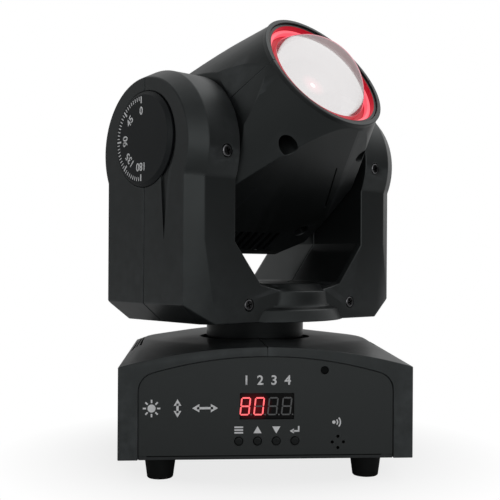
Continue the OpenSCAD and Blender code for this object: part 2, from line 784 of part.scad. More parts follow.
// A square stepper motor with its front face at z = 0 and its boss upwards
module square_motor(w, l, boss_h) difference() {
    union() {
        translate([0, 0, -l]) linear_extrude(l) intersection() {
            square(w, center = true);
            rotate(45) square(sqrt(2) * (w - motor_corner), center = true);
        }
        cylinder(r = motor_boss_r, h = boss_h);
    }
    translate([0, 0, -l / 2]) cylinder(r = motor_shaft_r + running_fit, h = l);
}
module pan_motor() color(steel) translate([-pan_motor_x, 0, bridge_z])
    square_motor(pan_motor_w, pan_motor_h, bridge_t);
module pan_motor_pulley() color(alu) translate([-pan_motor_x, 0, 0]) {
    translate([0, 0, pan_pulley_z]) flanged_pulley(pan_pinion_d / 2, pulley_h, motor_shaft_r);
    translate([0, 0, bridge_z - pan_motor_h / 2 + over]) cylinder(r = motor_shaft_r,
        h = pan_pulley_z + pulley_h - bridge_z + pan_motor_h / 2 - over);
}
module pan_belt() color(belt_black) translate([0, 0, pan_pulley_z + (pulley_h - belt_w) / 2])
    rotate([0, 0, 180])
    belt(pan_pulley_d / 2, pan_pinion_d / 2, pan_motor_x, belt_w);
module pan_shaft() color(panel_black) in_yoke() rotate_extrude() polygon([
    [shaft_bore_d / 2, shaft_low_z], [journal_d / 2, shaft_low_z],
    [journal_d / 2, neck_low_z], [neck_d / 2, neck_low_z],
    [neck_d / 2, yoke_z + wall], [shaft_flange_r, yoke_z + wall],
    [shaft_flange_r, frame_z], [shaft_bore_d / 2, frame_z]
]);
module pan_pulley() color(alu) in_yoke() translate([0, 0, pan_pulley_z])
    flanged_pulley(pan_pulley_d / 2, pulley_h, journal_d / 2 + press_gap);

// Yoke: a bevelled body with round arm ends, a gap for the head and a stepped turret under its middle
module yoke_level(z, face_half, side_half, face_d, side_d) translate([0, 0, z])
    linear_extrude(slice) polygon([
    [face_half, -face_d], [side_half, -side_d], [side_half, side_d], [face_half, face_d],
    [-face_half, face_d], [-side_half, side_d], [-side_half, -side_d], [-face_half, -face_d]
]);
module yoke_body(e) hull() {
    low_face = bevel_x - face_taper;
    yoke_level(yoke_z + e, low_face - e, half_yoke - toe_w - e, half_yoke_d - e,
        half_yoke_d - arm_bevel_d - 3 - e);
    yoke_level(yoke_z + toe_h + e / 2, low_face + 1 - e / 2, half_yoke - e, half_yoke_d - e,
        half_yoke_d - arm_bevel_d - e);
    yoke_level(yoke_z + taper_h, bevel_x - e / 2, half_yoke - e, half_yoke_d - e,
        half_yoke_d - arm_bevel_d - e);
    yoke_level(strip_top_z, bevel_x - e / 2, half_yoke - e, half_yoke_d - e, half_yoke_d - arm_bevel_d - e);
}
module arm_ends(e) for (side = [-1, 1]) mirror([side < 0 ? 1 : 0, 0, 0]) translate([0, 0, round_z]) {
    along_x(half_gap - over, bevel_x, arm_r - e);
    translate([bevel_x, 0, 0]) rotate([0, 90, 0])
        cylinder(r1 = arm_r - e, r2 = arm_face_r - e / 2, h = arm_bevel - e);
}
// Outline of the gap between the arms, grown by e, its floor lowered
module gap_outline(e, low) {
    floor_r = (floor_w * floor_w / 4 + floor_sag * floor_sag) / (2 * floor_sag);
    half = asin(floor_w / 2 / floor_r);
    floor_z = yoke_z + floor_t - low;
    wall_z = yoke_z + gap_wall_h - low;
    offset(delta = e) polygon(concat(
        [for (i = [0 : floor_steps]) let (a = -half + 2 * half * i / floor_steps)
            [floor_r * sin(a), floor_z + floor_r * (1 - cos(a))]],
        [[half_gap, wall_z], [half_gap, gap_top_z], [-half_gap, gap_top_z], [-half_gap, wall_z]]));
}
// Gap between the arms, grown by e, with a bevel round its floor at the front and the back
module gap_cut(e) {
    translate([0, yoke_d, 0]) rotate([90, 0, 0]) linear_extrude(2 * yoke_d) gap_outline(e, 0);
    for (turn = [0, 180]) rotate([0, 0, turn]) hull() {
        translate([0, e + gap_bevel_d - half_yoke_d, 0]) rotate([90, 0, 0]) linear_extrude(slice)
            gap_outline(e, 0);
        translate([0, e - over - half_yoke_d, 0]) rotate([90, 0, 0]) linear_extrude(slice)
            gap_outline(e, gap_bevel_h);
    }
}
module turret(e) translate([0, 0, yoke_z]) rotate_extrude() polygon([
    [0, e], [turret_r - e, e], [turret_r - 3 - e, turret_low_h - 0.4], [turret_r - 3.6 - e, turret_low_h],
    [turret_step_r + 1.2 - e, turret_low_h + 1.2], [turret_step_r + 0.2 - e, turret_low_h + 2.8 - e / 2],
    [turret_step_r - 0.4 - e, turret_step_h - e / 2],
        [turret_step_r - 1.2 - e, turret_step_h + 0.4 - e / 2],
    [turret_top_r - e, turret_top_h - e], [0, turret_top_h - e]
]);
module yoke_solid(e) {
    difference() {
        union() {
            yoke_body(e);
            arm_ends(e);
        }
        gap_cut(e);
    }
    turret(e);
}
// Depth of the front of the yoke at the upper screws
screw_top_z = pivot_z - screw_top_drop;
screw_low_z = yoke_z + screw_low_h;
top_depth = sqrt(arm_r * arm_r - pow(screw_top_z - round_z, 2));
module yoke_screw_places() for (side = [-1, 1]) {
    translate([side * screw_top_x, -top_depth, screw_top_z]) rotate([-90, 0, 0]) children(0);
    translate([side * screw_low_x, -half_yoke_d, screw_low_z]) rotate([-90, 0, 0]) children(1);
}
// Tapered groove that leaves the front edge of the arm's cover and runs down the arm, on the face towards +X
module arm_groove() {
    inner = disc_r - disc_gap;
    sweep = groove_top + groove_turn;
    translate([half_yoke - groove_t, 0, pivot_z]) rotate([90, 0, 90]) linear_extrude(groove_t + over)
        polygon(concat(
            [for (i = [0 : groove_steps]) let (a = groove_top - sweep * i / groove_steps)
                inner * [-cos(a), sin(a)]],
            groove_tail,
            [for (i = [groove_steps : -1 : 0]) let (a = groove_top - (sweep - groove_lead) * i / groove_steps)
                (disc_r + groove_w * i / groove_steps) * [-cos(a), sin(a)]]));
}
module yoke_shell() difference() {
    union() {
        difference() {
            yoke_solid(0);
            yoke_solid(wall);
        }
        for (turn = [0, 180]) rotate([0, 0, turn]) yoke_screw_places() {
            translate([0, 0, wall / 2]) cylinder(r = post_r, h = top_depth - wall / 2 - tab_y);
            translate([0, 0, wall / 2]) cylinder(r = post_r, h = half_yoke_d - wall / 2 - tab_y);
        }
    }
    translate([0, 0, yoke_z - over]) cylinder(r = neck_d / 2 + piece_fit, h = wall + 2 * over);
    translate([0, 0, pivot_z]) for (side = [-1, 1]) mirror([side < 0 ? 1 : 0, 0, 0]) {
        along_x(half_gap - over, half_gap + wall + over, trunnion_neck_r + trunnion_gap);
        along_x(half_yoke - disc_depth, half_yoke + over, disc_r + disc_gap);
        along_x(half_yoke - wall - over, half_yoke, disc_r - disc_ledge);
    }
    for (side = [0, 1]) mirror([side, 0, 0]) {
        arm_groove();
        translate([half_yoke - seam_t, -seam_w / 2, yoke_z])
            cube([seam_t + over, seam_w, gap_top_z - yoke_z]);
    }
    for (turn = [0, 180]) rotate([0, 0, turn]) yoke_screw_places() {
        union() {
            translate([0, 0, -over]) cylinder(r = well_head_r, h = over + well_head_t);
            cylinder(r = screw_r, h = top_depth);
        }
        union() {
            translate([0, 0, -over]) cylinder(r = well_head_r, h = over + well_head_t);
            cylinder(r = screw_r, h = half_yoke_d - tab_y + over);
        }
    }
}
module half_space(side) translate([-yoke_w, side < 0 ? -2 * yoke_d : 0, 0])
    cube([2 * yoke_w, 2 * yoke_d, gap_top_z + arm_r]);
module yoke_front_shell() color(charcoal) in_yoke() intersection() {
    yoke_shell();
    half_space(-1);
}
module yoke_rear_shell() color(charcoal) in_yoke() intersection() {
    yoke_shell();
    half_space(1);
}
module yoke_screws() color(zinc) in_yoke() for (turn = [0, 180]) rotate([0, 0, turn]) yoke_screw_places() {
    translate([0, 0, well_head_t]) screw(top_depth - tab_y - well_head_t + frame_t);
    translate([0, 0, well_head_t]) screw(half_yoke_d - tab_y - well_head_t + frame_t);
}
module frame_tab(x0, x1, z) for (turn = [0, 180]) rotate([0, 0, turn])
    translate([x0, -tab_y, z - tab_h / 2]) cube([x1 - x0, frame_t, tab_h]);
module yoke_frame() color(steel) in_yoke() difference() {
    union() {
        translate([-housing_x, -frame_half_d, frame_z]) cube([2 * housing_x, 2 * frame_half_d, frame_t]);
        for (side = [0, 1]) mirror([side, 0, 0]) {
            translate([frame_x, -frame_half_d, frame_z])
                cube([frame_t, 2 * frame_half_d, pivot_z - frame_z]);
            translate([0, 0, pivot_z]) along_x(frame_x, housing_x, frame_half_d);
            translate([0, 0, pivot_z]) along_x(frame_x, housing_x + tilt_bearing_w,
                trunnion_d / 2 + tilt_bearing_wall + housing_wall);
            for (flip = [0, 1]) mirror([0, flip, 0]) {
                translate([frame_x, -tab_y, screw_top_z - tab_h / 2])
                    cube([screw_top_x + tab_w / 2 - frame_x, frame_t, tab_h]);
                translate([frame_x, -tab_y, screw_top_z - tab_h / 2]) cube([frame_t, tab_y, tab_h]);
                translate([screw_low_x - tab_w / 2, -tab_y, frame_z]) cube([tab_w, tab_y, frame_t]);
                translate([screw_low_x - tab_w / 2, -tab_y, screw_low_z - post_r])
                    cube([tab_w, frame_t, frame_z + frame_t - screw_low_z + post_r]);
                translate([screw_low_x - tab_w / 2, -tab_y, frame_z])
                    cube([tab_w, frame_t, screw_low_z + post_r - frame_z]);
            }
        }
    }
    translate([0, 0, frame_z - over]) cylinder(d = shaft_bore_d, h = frame_t + 2 * over);
    translate([0, 0, pivot_z]) for (side = [0, 1]) mirror([side, 0, 0]) {
        along_x(frame_x - over, housing_x + over, trunnion_d / 2 + trunnion_gap);
        along_x(housing_x, housing_x + tilt_bearing_w + over, trunnion_d / 2 + tilt_bearing_wall);
    }
    for (turn = [0, 180]) rotate([0, 0, turn]) yoke_screw_places() {
        cylinder(r = screw_r, h = top_depth - tab_y + frame_t + over);
        cylinder(r = screw_r, h = half_yoke_d - tab_y + frame_t + over);
    }
}
module arm_disc() translate([0, 0, pivot_z]) {
    along_x(half_yoke - disc_depth, half_yoke, disc_r);
    translate([half_yoke - slice, 0, 0]) rotate([0, 90, 0])
        cylinder(r1 = disc_r, r2 = disc_r - disc_bevel, h = disc_rise + slice);
}
module arm_disc_left() color(panel_black) in_yoke() mirror([1, 0, 0]) arm_disc();
module arm_disc_right() color(panel_black) in_yoke() arm_disc();

// Tilt drive, drawn on the right and mirrored to the left
module tilt_bearing() translate([housing_x, 0, pivot_z]) rotate([0, 90, 0])
    ring(trunnion_d / 2 + tilt_bearing_wall, trunnion_d / 2 + running_fit, tilt_bearing_w);
module tilt_bearing_left() color(zinc) in_yoke() mirror([1, 0, 0]) tilt_bearing();
module tilt_bearing_right() color(zinc) in_yoke() tilt_bearing();
module at_tilt_motor() in_yoke() mirror([1, 0, 0]) translate([0, 0, pivot_z - tilt_motor_drop])
    rotate([0, 90, 0]) children();
module tilt_motor() color(steel) at_tilt_motor() translate([0, 0, housing_x + tilt_motor_l])
    square_motor(tilt_motor_w, tilt_motor_l, slice);
module tilt_motor_pulley() color(alu) at_tilt_motor() {
    translate([0, 0, tilt_pulley_x]) flanged_pulley(tilt_pinion_d / 2, tilt_pulley_h, motor_shaft_r);
    translate([0, 0, housing_x + tilt_motor_l / 2 + over]) cylinder(r = motor_shaft_r,
        h = tilt_pulley_x + tilt_pulley_h - housing_x - tilt_motor_l / 2 - over);
}
module tilt_belt() color(belt_black) in_yoke() mirror([1, 0, 0])
    translate([tilt_pulley_x + (tilt_pulley_h - tilt_belt_w) / 2, 0, pivot_z]) rotate([0, 90, 0])
        belt(tilt_pulley_d / 2, tilt_pinion_d / 2, tilt_motor_drop, tilt_belt_w);

// Head: a flared round front that runs into a box with tapered sides, a bevelled back and one lifted flank
module head_solid(e) difference() {
    intersection() {
        union() {
            translate([0, 0, -head_rear]) cylinder(
                r1 = rim_r - e + flare * (head_front - rim_straight + head_rear), r2 = rim_r - e,
                h = head_front - rim_straight + head_rear);
            translate([0, 0, head_front - rim_straight - slice])
                cylinder(r = rim_r - e, h = rim_straight + slice);
        }
        rotate([90, 0, 0]) linear_extrude(head_h - 2 * e, center = true) polygon([
            [rim_r - e, head_front], [half_head - e, head_front - side_taper_l],
            [half_head - e, -head_rear + rear_bevel_l], [half_head - rear_bevel_w - e, -head_rear],
            [-(half_head - rear_bevel_w - e), -head_rear], [-(half_head - e), -head_rear + rear_bevel_l],
            [-(half_head - e), head_front - side_taper_l], [-(rim_r - e), head_front]
        ]);
    }
    below_flank(e);
}
// Room below the flank that rises from the flat underside along a crease
module below_flank(e) {
    run = crease_front - crease_back;
    translate([crease_front[0], -half_head_h, crease_front[1]])
        rotate([0, atan2(run[0], run[1]), 0]) rotate([0, 0, crease_lift])
            translate([-head_w, e - head_h, -2 * head_w]) cube([2 * head_w, head_h, 3 * head_w]);
}
module well_places() for (side = [-1, 1]) {
    translate([side * well_x, 0, well_l]) rotate([90, 0, 0]) children();
    translate([side * rear_well_x, 0, rear_well_l]) rotate([90, 0, 0]) children();
}
module cover_screw_places() for (sx = [-1, 1], sy = [-1, 1])
    translate([sx * cover_screw_x, sy * cover_screw_y, cover_l]) children();
// Walls of the head without its back cover
module head_walls() difference() {
    head_solid(0);
    difference() {
        head_solid(wall);
        translate([0, 0, lens_l]) centred_box(head_w, head_h, 0, head_front);
    }
    translate([0, 0, lens_l - over]) cylinder(r = bezel_r, h = head_front);
    centred_box(head_w, head_h + over, -head_rear - over, cover_l);
    for (side = [-1, 1]) rotate([0, 0, side < 0 ? 180 : 0])
        along_x(half_head - wall - over, half_head + over, trunnion_neck_r + trunnion_gap);
    for (side = [-1, 1], i = [0 : head_vents - 1])
        translate([(i - (head_vents - 1) / 2) * head_vent_pitch - head_vent_w / 2,
            side * half_head_h - wall - over, cover_l + 2])
            cube([head_vent_w, 2 * (wall + over), head_vent_l]);
}
module head_upper_shell() color(charcoal) in_head() difference() {
    union() {
        intersection() {
            head_walls();
            translate([-head_w, 0, -head_w]) cube([2 * head_w, head_h, 3 * head_w]);
        }
        intersection() {
            head_solid(wall / 2);
            union() {
                mirror([0, 1, 0]) well_places() cylinder(r = head_post_r, h = head_h);
                cover_posts(1);
            }
        }
    }
    mirror([0, 1, 0]) well_places() translate([0, 0, -slice])
        cylinder(r = screw_r, h = head_screw_l - well_seat);
    cover_screw_places() cylinder(r = screw_r, h = cover_post_l - 2);
}
module cover_posts(sy) for (sx = [-1, 1]) translate([sx * cover_screw_x, sy * cover_screw_y, cover_l])
    cylinder(r = cover_post_r, h = cover_post_l);
module head_lower_shell() color(charcoal) in_head() difference() {
    union() {
        intersection() {
            head_walls();
            translate([-head_w, -head_h, -head_w]) cube([2 * head_w, head_h, 3 * head_w]);
        }
        intersection() {
            head_solid(wall / 2);
            union() {
                well_places() cylinder(r = well_d / 2 + well_wall, h = head_h);
                cover_posts(-1);
            }
        }
    }
    well_places() translate([0, 0, well_seat]) cylinder(r = well_d / 2, h = head_h);
    well_places() translate([0, 0, -over]) cylinder(r = screw_r, h = well_seat + 2 * over);
    cover_screw_places() cylinder(r = screw_r, h = cover_post_l - 2);
    slot_run = slot_back - slot_front;
    translate([slot_front[0], -half_head_h - over, slot_front[1]])
        rotate([0, atan2(slot_run[0], slot_run[1]), 0])
        translate([-slot_w / 2, 0, 0]) cube([slot_w, over + slot_t, norm(slot_run)]);
}
module head_rear_cover() color(charcoal) in_head() difference() {
    intersection() {
        head_solid(0);
        centred_box(head_w, head_h + over, -head_rear, cover_l);
    }
    intersection() {
        translate([0, 0, -head_rear - over]) cylinder(r = grille_r, h = wall + 2 * over);
        for (i = [0 : grille_bars - 1]) translate([0, (i - (grille_bars - 1) / 2) * grille_pitch, 0])
            centred_box(head_w, grille_slot, -head_rear - over, cover_l + over);
    }
    cover_screw_places() translate([0, 0, -wall - over]) cylinder(r = screw_r, h = wall + 2 * over);
    cover_screw_places() translate([0, 0, -wall - over])
        cylinder(r = well_head_r, h = over + screw_head_h - 0.4);
}
module head_screws() color(zinc) in_head() {
    well_places() translate([0, 0, well_seat]) mirror([0, 0, 1]) screw(head_screw_l - over);
    cover_screw_places() translate([0, 0, -wall + screw_head_h - 0.4]) screw(cover_post_l - 3);
}
module front_bezel() color(rubber_black) in_head() translate([0, 0, head_front - over - bezel_l])
    ring(bezel_r, halo_r + bezel_gap, bezel_l);
module halo_ring() color(halo_red) in_head() translate([0, 0, halo_l])
    ring(halo_r, holder_r + bezel_gap, halo_t);
module front_lens() color(lens_clear) in_head() {
    ball_r = (lens_r * lens_r + lens_rise * lens_rise) / (2 * lens_rise);
    translate([0, 0, lens_l]) cylinder(r = lens_r, h = lens_edge_t);
    intersection() {
        translate([0, 0, lens_l + lens_edge_t + lens_rise - ball_r]) sphere(r = ball_r);
        translate([0, 0, lens_l + lens_edge_t - slice]) cylinder(r = lens_r, h = lens_rise + over);
    }
}
module lens_holder() color(rubber_black) in_head() rotate_extrude() polygon([
    [tube_r - tube_wall, optics_l + optics_t], [tube_flange_r, optics_l + optics_t],
    [tube_flange_r, optics_l + 2 * optics_t], [tube_r, optics_l + 2 * optics_t],
    [tube_r, funnel_l], [holder_r, funnel_end], [holder_r, halo_l - halo_seat_t],
    [halo_r, halo_l - halo_seat_t], [halo_r, halo_l], [holder_r, halo_l],
    [holder_r, halo_l + holder_lip], [lens_r + press_gap, halo_l + holder_lip],
    [lens_r + press_gap, lens_l], [lens_r - lens_seat_w, lens_l], [lens_r - lens_seat_w, funnel_end],
    [tube_r - tube_wall, funnel_l]
]);
module optics_plate() color(steel) in_head() difference() {
    union() {
        centred_box(2 * (cheek_x + cheek_t), 2 * sink_half_h, optics_l, optics_l + optics_t);
        for (side = [-1, 1]) translate([side * (cheek_x + cheek_t / 2), 0, 0])
            centred_box(cheek_t, 2 * cheek_h, cheek_rear, optics_l + slice);
    }
    cylinder(r = tube_r - tube_wall, h = optics_l + optics_t + over);
}
module trunnion(end) {
    along_x(cheek_x + cheek_t, cheek_x + cheek_t + trunnion_flange_t, trunnion_flange_r);
    along_x(cheek_x + cheek_t, frame_x - over, trunnion_neck_r);
    along_x(cheek_x + cheek_t, end, trunnion_d / 2);
}
module drilled_trunnion(end) difference() {
    trunnion(end);
    along_x(cheek_x, end + over, trunnion_d / 4);
}
module trunnion_left() color(alu) in_head() mirror([1, 0, 0]) drilled_trunnion(trunnion_end);
module trunnion_right() color(alu) in_head() drilled_trunnion(trunnion_short);
module tilt_pulley() color(alu) in_head() mirror([1, 0, 0]) translate([tilt_pulley_x, 0, 0])
    rotate([0, 90, 0])
    flanged_pulley(tilt_pulley_d / 2, tilt_pulley_h, trunnion_d / 2 + press_gap);
module heat_sink() color(alu) in_head() {
    centred_box(2 * cheek_x, 2 * sink_half_h, sink_l - sink_t, sink_l);
    for (i = [0 : fin_count - 1]) translate([(i / (fin_count - 1) - 0.5) * fin_span, 0, 0])
        centred_box(fin_t, 2 * sink_half_h, sink_l - sink_t - fin_l, sink_l - sink_t + slice);
}
module led_board() color(board_green) in_head() {
    centred_box(led_w, led_h, sink_l, sink_l + led_t);
    centred_box(emitter_w, emitter_w, sink_l, sink_l + led_t + emitter_t);
}
module condenser_lens() color(lens_clear) in_head() difference() {
    translate([0, 0, sink_l + led_t]) cylinder(r1 = condenser_low_r, r2 = condenser_r, h = condenser_h);
    translate([0, 0, sink_l + led_t - over]) cylinder(r = emitter_w * 0.75, h = emitter_t + over + 0.5);
}
module wheel_motor() translate([0, 0, sink_l]) difference() {
    cylinder(r = wheel_motor_r, h = wheel_motor_h);
    translate([0, 0, wheel_motor_h / 2]) cylinder(r = wheel_axle_r + running_fit, h = wheel_motor_h);
}
module colour_motor() color(zinc) in_head() translate([0, wheel_offset, 0]) wheel_motor();
module gobo_motor() color(zinc) in_head() translate([0, -wheel_offset, 0]) wheel_motor();
// A wheel of openings on its axle, with its disc at height l
module filter_wheel(l) {
    difference() {
        translate([0, 0, l]) cylinder(d = wheel_d, h = wheel_t);
        for (i = [0 : wheel_holes - 1]) rotate([0, 0, 90 + i * 360 / wheel_holes])
            translate([wheel_offset, 0, l - over]) cylinder(r = wheel_hole_r, h = wheel_t + 2 * over);
    }
    translate([0, 0, sink_l + wheel_motor_h + 0.4])
        cylinder(r = wheel_hub_r, h = l + wheel_t - sink_l - wheel_motor_h - 0.4);
    translate([0, 0, sink_l + wheel_motor_h / 2 + over])
        cylinder(r = wheel_axle_r, h = l - sink_l - wheel_motor_h / 2 - over);
}
module colour_wheel() color(alu) in_head() translate([0, wheel_offset, 0]) filter_wheel(colour_l);
module gobo_wheel() color(steel) in_head() translate([0, -wheel_offset, 0]) filter_wheel(gobo_l);
module fan_frame() color(rubber_black) in_head() translate([0, 0, cover_l]) {
    difference() {
        centred_box(fan_w, fan_w, 0, fan_t);
        translate([0, 0, -over]) cylinder(r = fan_bore_r, h = fan_t + 2 * over);
    }
    cylinder(r = fan_hub_r, h = fan_spoke_t);
    cylinder(r = fan_axle_r, h = fan_t - 2);
    for (a = [45 : 90 : 315]) rotate([0, 0, a]) translate([0, -fan_spoke_w / 2, 0])
        cube([fan_bore_r + over, fan_spoke_w, fan_spoke_t]);
}
module fan_rotor() color(charcoal) in_head()
    translate([0, 0, cover_l + fan_spoke_t + fan_room]) difference() {
    union() {
        cylinder(r = fan_hub_r, h = fan_t - fan_spoke_t - 2 * fan_room);
        intersection() {
            cylinder(r = fan_bore_r - fan_room, h = fan_t - fan_spoke_t - 2 * fan_room);
            for (i = [0 : fan_blades - 1]) rotate([0, 0, i * 360 / fan_blades])
                translate([0, 0, (fan_t - fan_spoke_t) / 2 - fan_room]) rotate([blade_pitch, 0, 0])
                    translate([fan_hub_r - over, -fan_t, -blade_t / 2])
                        cube([fan_bore_r, 2 * fan_t, blade_t]);
        }
    }
    translate([0, 0, -over]) cylinder(r = fan_axle_r + running_fit, h = fan_t - fan_spoke_t - 2 * fan_room);
}

base_bottom_plate();
base_cover();
front_panel();
rear_panel();
display_module();
control_board();
mic_capsule();
sensor_window();
power_inlet();
dmx_in_socket();
dmx_out_socket();
socket_pins();
rubber_feet();
base_screws();
power_supply();
main_board();
pan_bridge();
pan_bearing();
pan_motor();
pan_belt();
button_menu();
button_up();
button_down();
button_enter();
pan_motor_pulley();
yoke_front_shell();
yoke_rear_shell();
yoke_frame();
arm_disc_left();
arm_disc_right();
pan_shaft();
pan_pulley();
tilt_bearing_left();
tilt_bearing_right();
tilt_motor();
tilt_belt();
yoke_screws();
tilt_motor_pulley();
head_upper_shell();
head_lower_shell();
front_bezel();
halo_ring();
front_lens();
lens_holder();
heat_sink();
led_board();
condenser_lens();
optics_plate();
colour_motor();
gobo_motor();
fan_frame();
head_rear_cover();
trunnion_left();
trunnion_right();
tilt_pulley();
head_screws();
colour_wheel();
gobo_wheel();
fan_rotor();
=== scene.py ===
"""Looks of the moving head light: finishes, softened mouldings, screws, display, print, light and camera."""

import json
import math

import bpy
from mathutils import Matrix, Vector
from mathutils.bvhtree import BVHTree


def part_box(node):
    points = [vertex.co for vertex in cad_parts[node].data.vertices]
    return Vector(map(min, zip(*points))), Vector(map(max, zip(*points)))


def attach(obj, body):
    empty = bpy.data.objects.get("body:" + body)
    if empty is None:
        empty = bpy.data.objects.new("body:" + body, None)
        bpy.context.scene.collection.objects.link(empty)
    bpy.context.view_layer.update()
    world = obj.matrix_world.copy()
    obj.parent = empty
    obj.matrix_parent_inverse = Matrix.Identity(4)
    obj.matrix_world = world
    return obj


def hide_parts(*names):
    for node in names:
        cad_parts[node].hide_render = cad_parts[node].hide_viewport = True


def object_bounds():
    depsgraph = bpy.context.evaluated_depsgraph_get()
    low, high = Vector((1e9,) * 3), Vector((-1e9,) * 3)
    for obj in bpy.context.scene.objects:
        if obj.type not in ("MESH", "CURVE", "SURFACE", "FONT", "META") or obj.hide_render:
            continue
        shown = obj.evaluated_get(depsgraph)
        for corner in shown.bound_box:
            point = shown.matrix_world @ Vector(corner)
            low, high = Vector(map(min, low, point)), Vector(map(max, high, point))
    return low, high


MM = 0.001

# Copies of the solids' meshes: corners this close, in millimetres, are one, and faces this level, in degrees
MERGE_GAP = 0.002
FLAT_ANGLE = 0.4

# Where a face beside an edge looks out from: inwards from the edge and above the face, in millimetres
RAY_INSET = 0.15
RAY_LIFT = 0.02

# How far large faces lead the shading, where 50 is even
LARGE_FACE_LEAD = 100

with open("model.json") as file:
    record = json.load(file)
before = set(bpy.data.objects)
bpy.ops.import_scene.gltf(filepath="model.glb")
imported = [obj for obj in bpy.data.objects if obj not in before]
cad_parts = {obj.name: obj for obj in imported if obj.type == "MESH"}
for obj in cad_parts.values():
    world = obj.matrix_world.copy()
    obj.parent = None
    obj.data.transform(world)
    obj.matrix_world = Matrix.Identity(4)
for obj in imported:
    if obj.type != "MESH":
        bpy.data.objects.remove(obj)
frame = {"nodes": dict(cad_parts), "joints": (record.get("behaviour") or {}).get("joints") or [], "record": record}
cad_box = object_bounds()
nodes = frame["nodes"]
joints = {joint["name"]: joint for joint in frame["joints"]}

# Frames of the yoke and the head, taken from their joints
UP = Vector((0, 0, 1))
SIDE = -Vector(joints["tilt"]["axis"]).normalized()
BACK = UP.cross(SIDE)
BEAM = Vector(joints["colour_turn"]["axis"]).normalized()
BROW = BEAM.cross(SIDE)
PIVOT = Vector(joints["tilt"]["pos_m"])


def axes_matrix(right, up, out, origin):
    """Turns a piece that was modelled with X right, Y up and Z out of its face to these directions."""
    turn = Matrix((right, up, out)).transposed().to_4x4()
    return Matrix.Translation(origin) @ turn


HEAD = axes_matrix(SIDE, BROW, BEAM, PIVOT)


# Selection and small modelling helpers


def deselect():
    if bpy.context.object and bpy.context.object.mode != "OBJECT":
        bpy.ops.object.mode_set(mode="OBJECT")
    bpy.ops.object.select_all(action="DESELECT")


def activate(piece):
    deselect()
    piece.select_set(True)
    bpy.context.view_layer.objects.active = piece


def apply_modifiers(piece):
    activate(piece)
    for modifier in list(piece.modifiers):
        bpy.ops.object.modifier_apply(modifier=modifier.name)


def place(piece, matrix):
    """Moves a piece's mesh, so that the object itself stays at the origin."""
    activate(piece)
    bpy.ops.object.transform_apply(location=True, rotation=True, scale=True)
    piece.data.transform(matrix)
    piece.data.update()


def join(pieces, name):
    deselect()
    for piece in pieces:
        piece.select_set(True)
    bpy.context.view_layer.objects.active = pieces[0]
    if len(pieces) > 1:
        bpy.ops.object.join()
    pieces[0].name = name
    pieces[0].data.name = name
    return pieces[0]


def smooth(piece, angle=30):
    activate(piece)
    bpy.ops.object.shade_smooth_by_angle(angle=math.radians(angle))


def paint(piece, material):
    piece.data.materials.clear()
    piece.data.materials.append(material)


def copy_of(piece):
    twin = piece.copy()
    twin.data = piece.data.copy()
    bpy.context.scene.collection.objects.link(twin)
    return twin


def merged_copy(node, name):
    """A copy of a node's mesh with its loose triangles merged and its flat faces made whole."""
    piece = bpy.data.objects.new(name, nodes[node].data.copy())
    bpy.context.scene.collection.objects.link(piece)
    activate(piece)
    bpy.ops.object.mode_set(mode="EDIT")
    bpy.ops.mesh.select_all(action="SELECT")
    bpy.ops.mesh.remove_doubles(threshold=MERGE_GAP * MM)
    bpy.ops.mesh.dissolve_limited(angle_limit=math.radians(FLAT_ANGLE))
    bpy.ops.mesh.customdata_custom_splitnormals_clear()
    bpy.ops.object.mode_set(mode="OBJECT")
    return piece


def faces_by_edge(mesh):
    """For each edge, its faces' normals and the ways from the edge into those faces."""
    sides = {}
    for face in mesh.polygons:
        corners = list(face.vertices)
        for start, end in zip(corners, corners[1:] + corners[:1]):
            run = (mesh.vertices[end].co - mesh.vertices[start].co).normalized()
            side = (face.normal.copy(), face.normal.cross(run))
            sides.setdefault((min(start, end), max(start, end)), []).append(side)
    return sides


def looks_at_itself(solid, middle, sides, reach):
    """Whether a face beside an edge looks at another face of its own piece within this reach."""
    for normal, into in sides:
        start = middle + into * RAY_INSET * MM + normal * RAY_LIFT * MM
        if solid.ray_cast(start, normal, reach * MM)[0] is not None:
            return True
    return False


def mark_outer_corners(piece, crease, rim_reach):
    """Gives bevel weight to sharp outer corners, and none to inner corners or the rims of slots and holes."""
    mesh = piece.data
    corners = [vertex.co.copy() for vertex in mesh.vertices]
    solid = BVHTree.FromPolygons(corners, [face.vertices for face in mesh.polygons])
    sides = faces_by_edge(mesh)
    weights = mesh.attributes.new("bevel_weight_edge", "FLOAT", "EDGE")
    for index, line in enumerate(mesh.edges):
        start, end = line.vertices
        pair = sides[(min(start, end), max(start, end))]
        if len(pair) != 2:
            continue
        normal, into = pair[0]
        other_normal = pair[1][0]
        sharp = normal.angle(other_normal, 0.0) > math.radians(crease)
        outer = into.dot(other_normal) <= 0
        middle = (corners[start] + corners[end]) / 2
        if sharp and outer and not looks_at_itself(solid, middle, pair, rim_reach):
            weights.data[index].value = 1.0


def dress(node, body, slot, material, edge=0.4, crease=24, steps=2, crisp=35, rim_reach=30.0):
    """Stands for a node with its outer corners rounded, its round faces smooth and its finish on.

    Corners sharper than crease, in degrees, are rounded by edge, in millimetres, unless a face beside them
    looks at its own piece within rim_reach, in millimetres. Shading breaks at corners sharper than crisp.
    """
    piece = merged_copy(node, node + "_finish")
    if edge:
        mark_outer_corners(piece, crease, rim_reach)
        bevel = piece.modifiers.new("edges", "BEVEL")
        bevel.width = edge * MM
        bevel.segments = steps
        bevel.limit_method = "WEIGHT"
        bevel.use_clamp_overlap = False
        bevel.loop_slide = False
        bevel.miter_outer = "MITER_ARC"
    smooth(piece, crisp)
    flat = piece.modifiers.new("flat_faces", "WEIGHTED_NORMAL")
    flat.keep_sharp = True
    flat.weight = LARGE_FACE_LEAD
    apply_modifiers(piece)
    paint(piece, material)
    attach(piece, body)
    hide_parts(node)
    return piece


# Finishes


def new_finish(name):
    material = bpy.data.materials.new(name)
    material.use_nodes = True
    tree = material.node_tree
    return material, tree, tree.nodes["Principled BSDF"]


